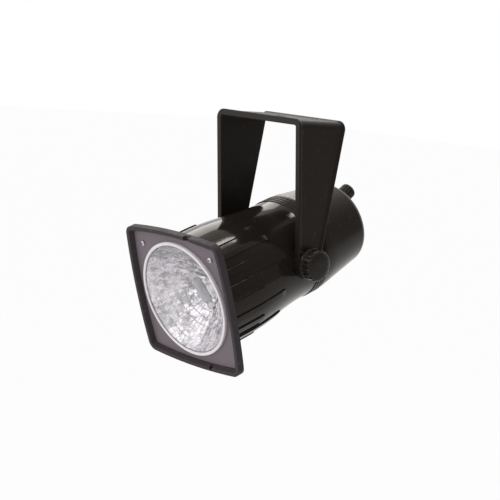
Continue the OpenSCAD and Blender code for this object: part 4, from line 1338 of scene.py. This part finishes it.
class SPOT_OT_stage(bpy.types.Operator):
    """Sets up the pale floor, the white surround, the soft lights and the camera"""

    bl_idname = "spot.stage"
    bl_label = "Stage"

    def execute(self, context):
        sizes = context.scene.spot_stage
        context.scene.view_settings.view_transform = "Standard"
        self.surround(context)
        self.floor(sizes)
        self.soft_box("overhead_box", Vector((0.05, 0.35, 1.35)), sides=(0.22, 0.30), power=3.2)
        self.soft_box("front_box", Vector((-0.45, -1.55, 0.55)), sides=(2.2, 2.0), power=12)
        self.soft_box(
            "streak_card", Vector((-1.09, 0.64, 0.98)), sides=(0.34, 0.8), power=2.4, mirrored_only=True)
        self.camera(context, sizes)
        return {"FINISHED"}

    def surround(self, context):
        """White where it is seen or mirrored, and a plain grey level where it only lights."""
        world = bpy.data.worlds.new("surround")
        context.scene.world = world
        world.use_nodes = True
        tree = world.node_tree
        background = tree.nodes["Background"]
        background.inputs["Color"].default_value = WHITE
        level = self.seen(tree, node(tree, "TexCoord").outputs["Generated"], otherwise=0.50, dimmest=0.20)
        tree.links.new(level, background.inputs["Strength"])

    def seen(self, tree, way, otherwise, dimmest):
        """1 for rays from the camera and through glass. Reflections see the white backdrop on the left and
        a dimmer room on the right. The rest get another level."""
        path = node(tree, "LightPath").outputs
        side = node(tree, "VectorMath", [(0, way)], operation="NORMALIZE")
        across = node(tree, "SeparateXYZ", [("Vector", side.outputs["Vector"])])
        mirrored = ramp(tree, across.outputs["X"], low=-0.2, high=0.5, start=1, end=dimmest)
        clear = arithmetic(tree, "MAXIMUM", path["Is Camera Ray"], path["Is Transmission Ray"])
        glossy = arithmetic(tree, "MULTIPLY", path["Is Glossy Ray"], mirrored)
        level = arithmetic(tree, "MAXIMUM", clear, glossy)
        direct = arithmetic(tree, "MAXIMUM", clear, path["Is Glossy Ray"])
        rest = ramp(tree, direct, low=0, high=1, start=otherwise, end=0)
        return arithmetic(tree, "MAXIMUM", level, rest)

    def floor(self, sizes):
        pick(None)
        height = CAD_BOX[0].z - sizes.floor_drop
        bpy.ops.mesh.primitive_plane_add(size=sizes.floor_side, location=(0, 0, height))
        floor = named("floor")
        material, tree, shader, way = new_material("pale_floor")
        shader.inputs["Base Color"].default_value = (0.9, 0.9, 0.9, 1)
        shader.inputs["Roughness"].default_value = 0.7
        shader.inputs["Specular IOR Level"].default_value = 0.2
        glow = node(tree, "Emission")
        share = ramp(tree, self.seen(tree, way, otherwise=0, dimmest=0.1), low=0, high=1, end=0.96)
        surfaces = [(1, shader.outputs["BSDF"]), (2, glow.outputs["Emission"])]
        blend = node(tree, "MixShader", [("Fac", share)] + surfaces)
        tree.links.new(blend.outputs["Shader"], tree.nodes["Material Output"].inputs["Surface"])
        floor.data.materials.append(material)

    def soft_box(self, name, offset, sides, power, mirrored_only=False):
        """A light at an offset from the lamp's middle, aimed at it. A card gives no diffuse light."""
        middle = Vector((0, 0, (CAD_BOX[0].z + CAD_BOX[1].z) / 2))
        light = bpy.data.lights.new(name, "AREA")
        light.shape = "RECTANGLE"
        light.size, light.size_y = sides
        light.energy = power
        light.color = CARD_TINT if mirrored_only else WHITE[:3]
        lamp = bpy.data.objects.new(name, light)
        bpy.context.scene.collection.objects.link(lamp)
        lamp.location = middle + offset
        lamp.rotation_mode = "QUATERNION"
        lamp.rotation_quaternion = (-offset).to_track_quat("-Z", "Y")
        lamp.visible_diffuse = not mirrored_only
        lamp.visible_camera = False

    def camera(self, context, sizes):
        data = bpy.data.cameras.new("camera")
        data.lens = sizes.camera_lens
        data.sensor_width = SENSOR_MM
        camera = bpy.data.objects.new("camera", data)
        context.scene.collection.objects.link(camera)
        camera.location = sizes.camera_place
        camera.rotation_euler = sizes.camera_turn
        context.scene.camera = camera


PIECES = (
    SPOT_OT_yoke, SPOT_OT_front_frame, SPOT_OT_lens_ring, SPOT_OT_lamp, SPOT_OT_barrel, SPOT_OT_neck_ring,
    SPOT_OT_rear_casing, SPOT_OT_label, SPOT_OT_gland, SPOT_OT_knobs, SPOT_OT_screws, SPOT_OT_finishes,
    SPOT_OT_stage,
)
GROUPS = {
    "spot_head": HeadSizes, "spot_yoke": YokeSizes, "spot_colours": SpotColours, "spot_stage": StageSizes,
}


class SPOT_PT_pieces(bpy.types.Panel):
    """Lists the spot's pieces and the sizes and colours that they are made from"""

    bl_idname = "SPOT_PT_pieces"
    bl_label = "Stage spot"
    bl_space_type = "VIEW_3D"
    bl_region_type = "UI"
    bl_category = "Spot"

    def draw(self, context):
        for operator in PIECES:
            self.layout.operator(operator.bl_idname)
        for pointer, group in GROUPS.items():
            box = self.layout.box()
            for name in group.__annotations__:
                box.prop(getattr(context.scene, pointer), name)


def register():
    for group in GROUPS.values():
        bpy.utils.register_class(group)
    for pointer, group in GROUPS.items():
        setattr(bpy.types.Scene, pointer, PointerProperty(type=group))
    for made in (*PIECES, SPOT_PT_pieces):
        bpy.utils.register_class(made)


def unregister():
    for made in reversed((*PIECES, SPOT_PT_pieces)):
        bpy.utils.unregister_class(made)
    for pointer, group in GROUPS.items():
        delattr(bpy.types.Scene, pointer)
        bpy.utils.unregister_class(group)


def main():
    register()
    for operator in PIECES:
        family, name = operator.bl_idname.split(".")
        getattr(getattr(bpy.ops, family), name)()


if __name__ == "__main__":
    main()
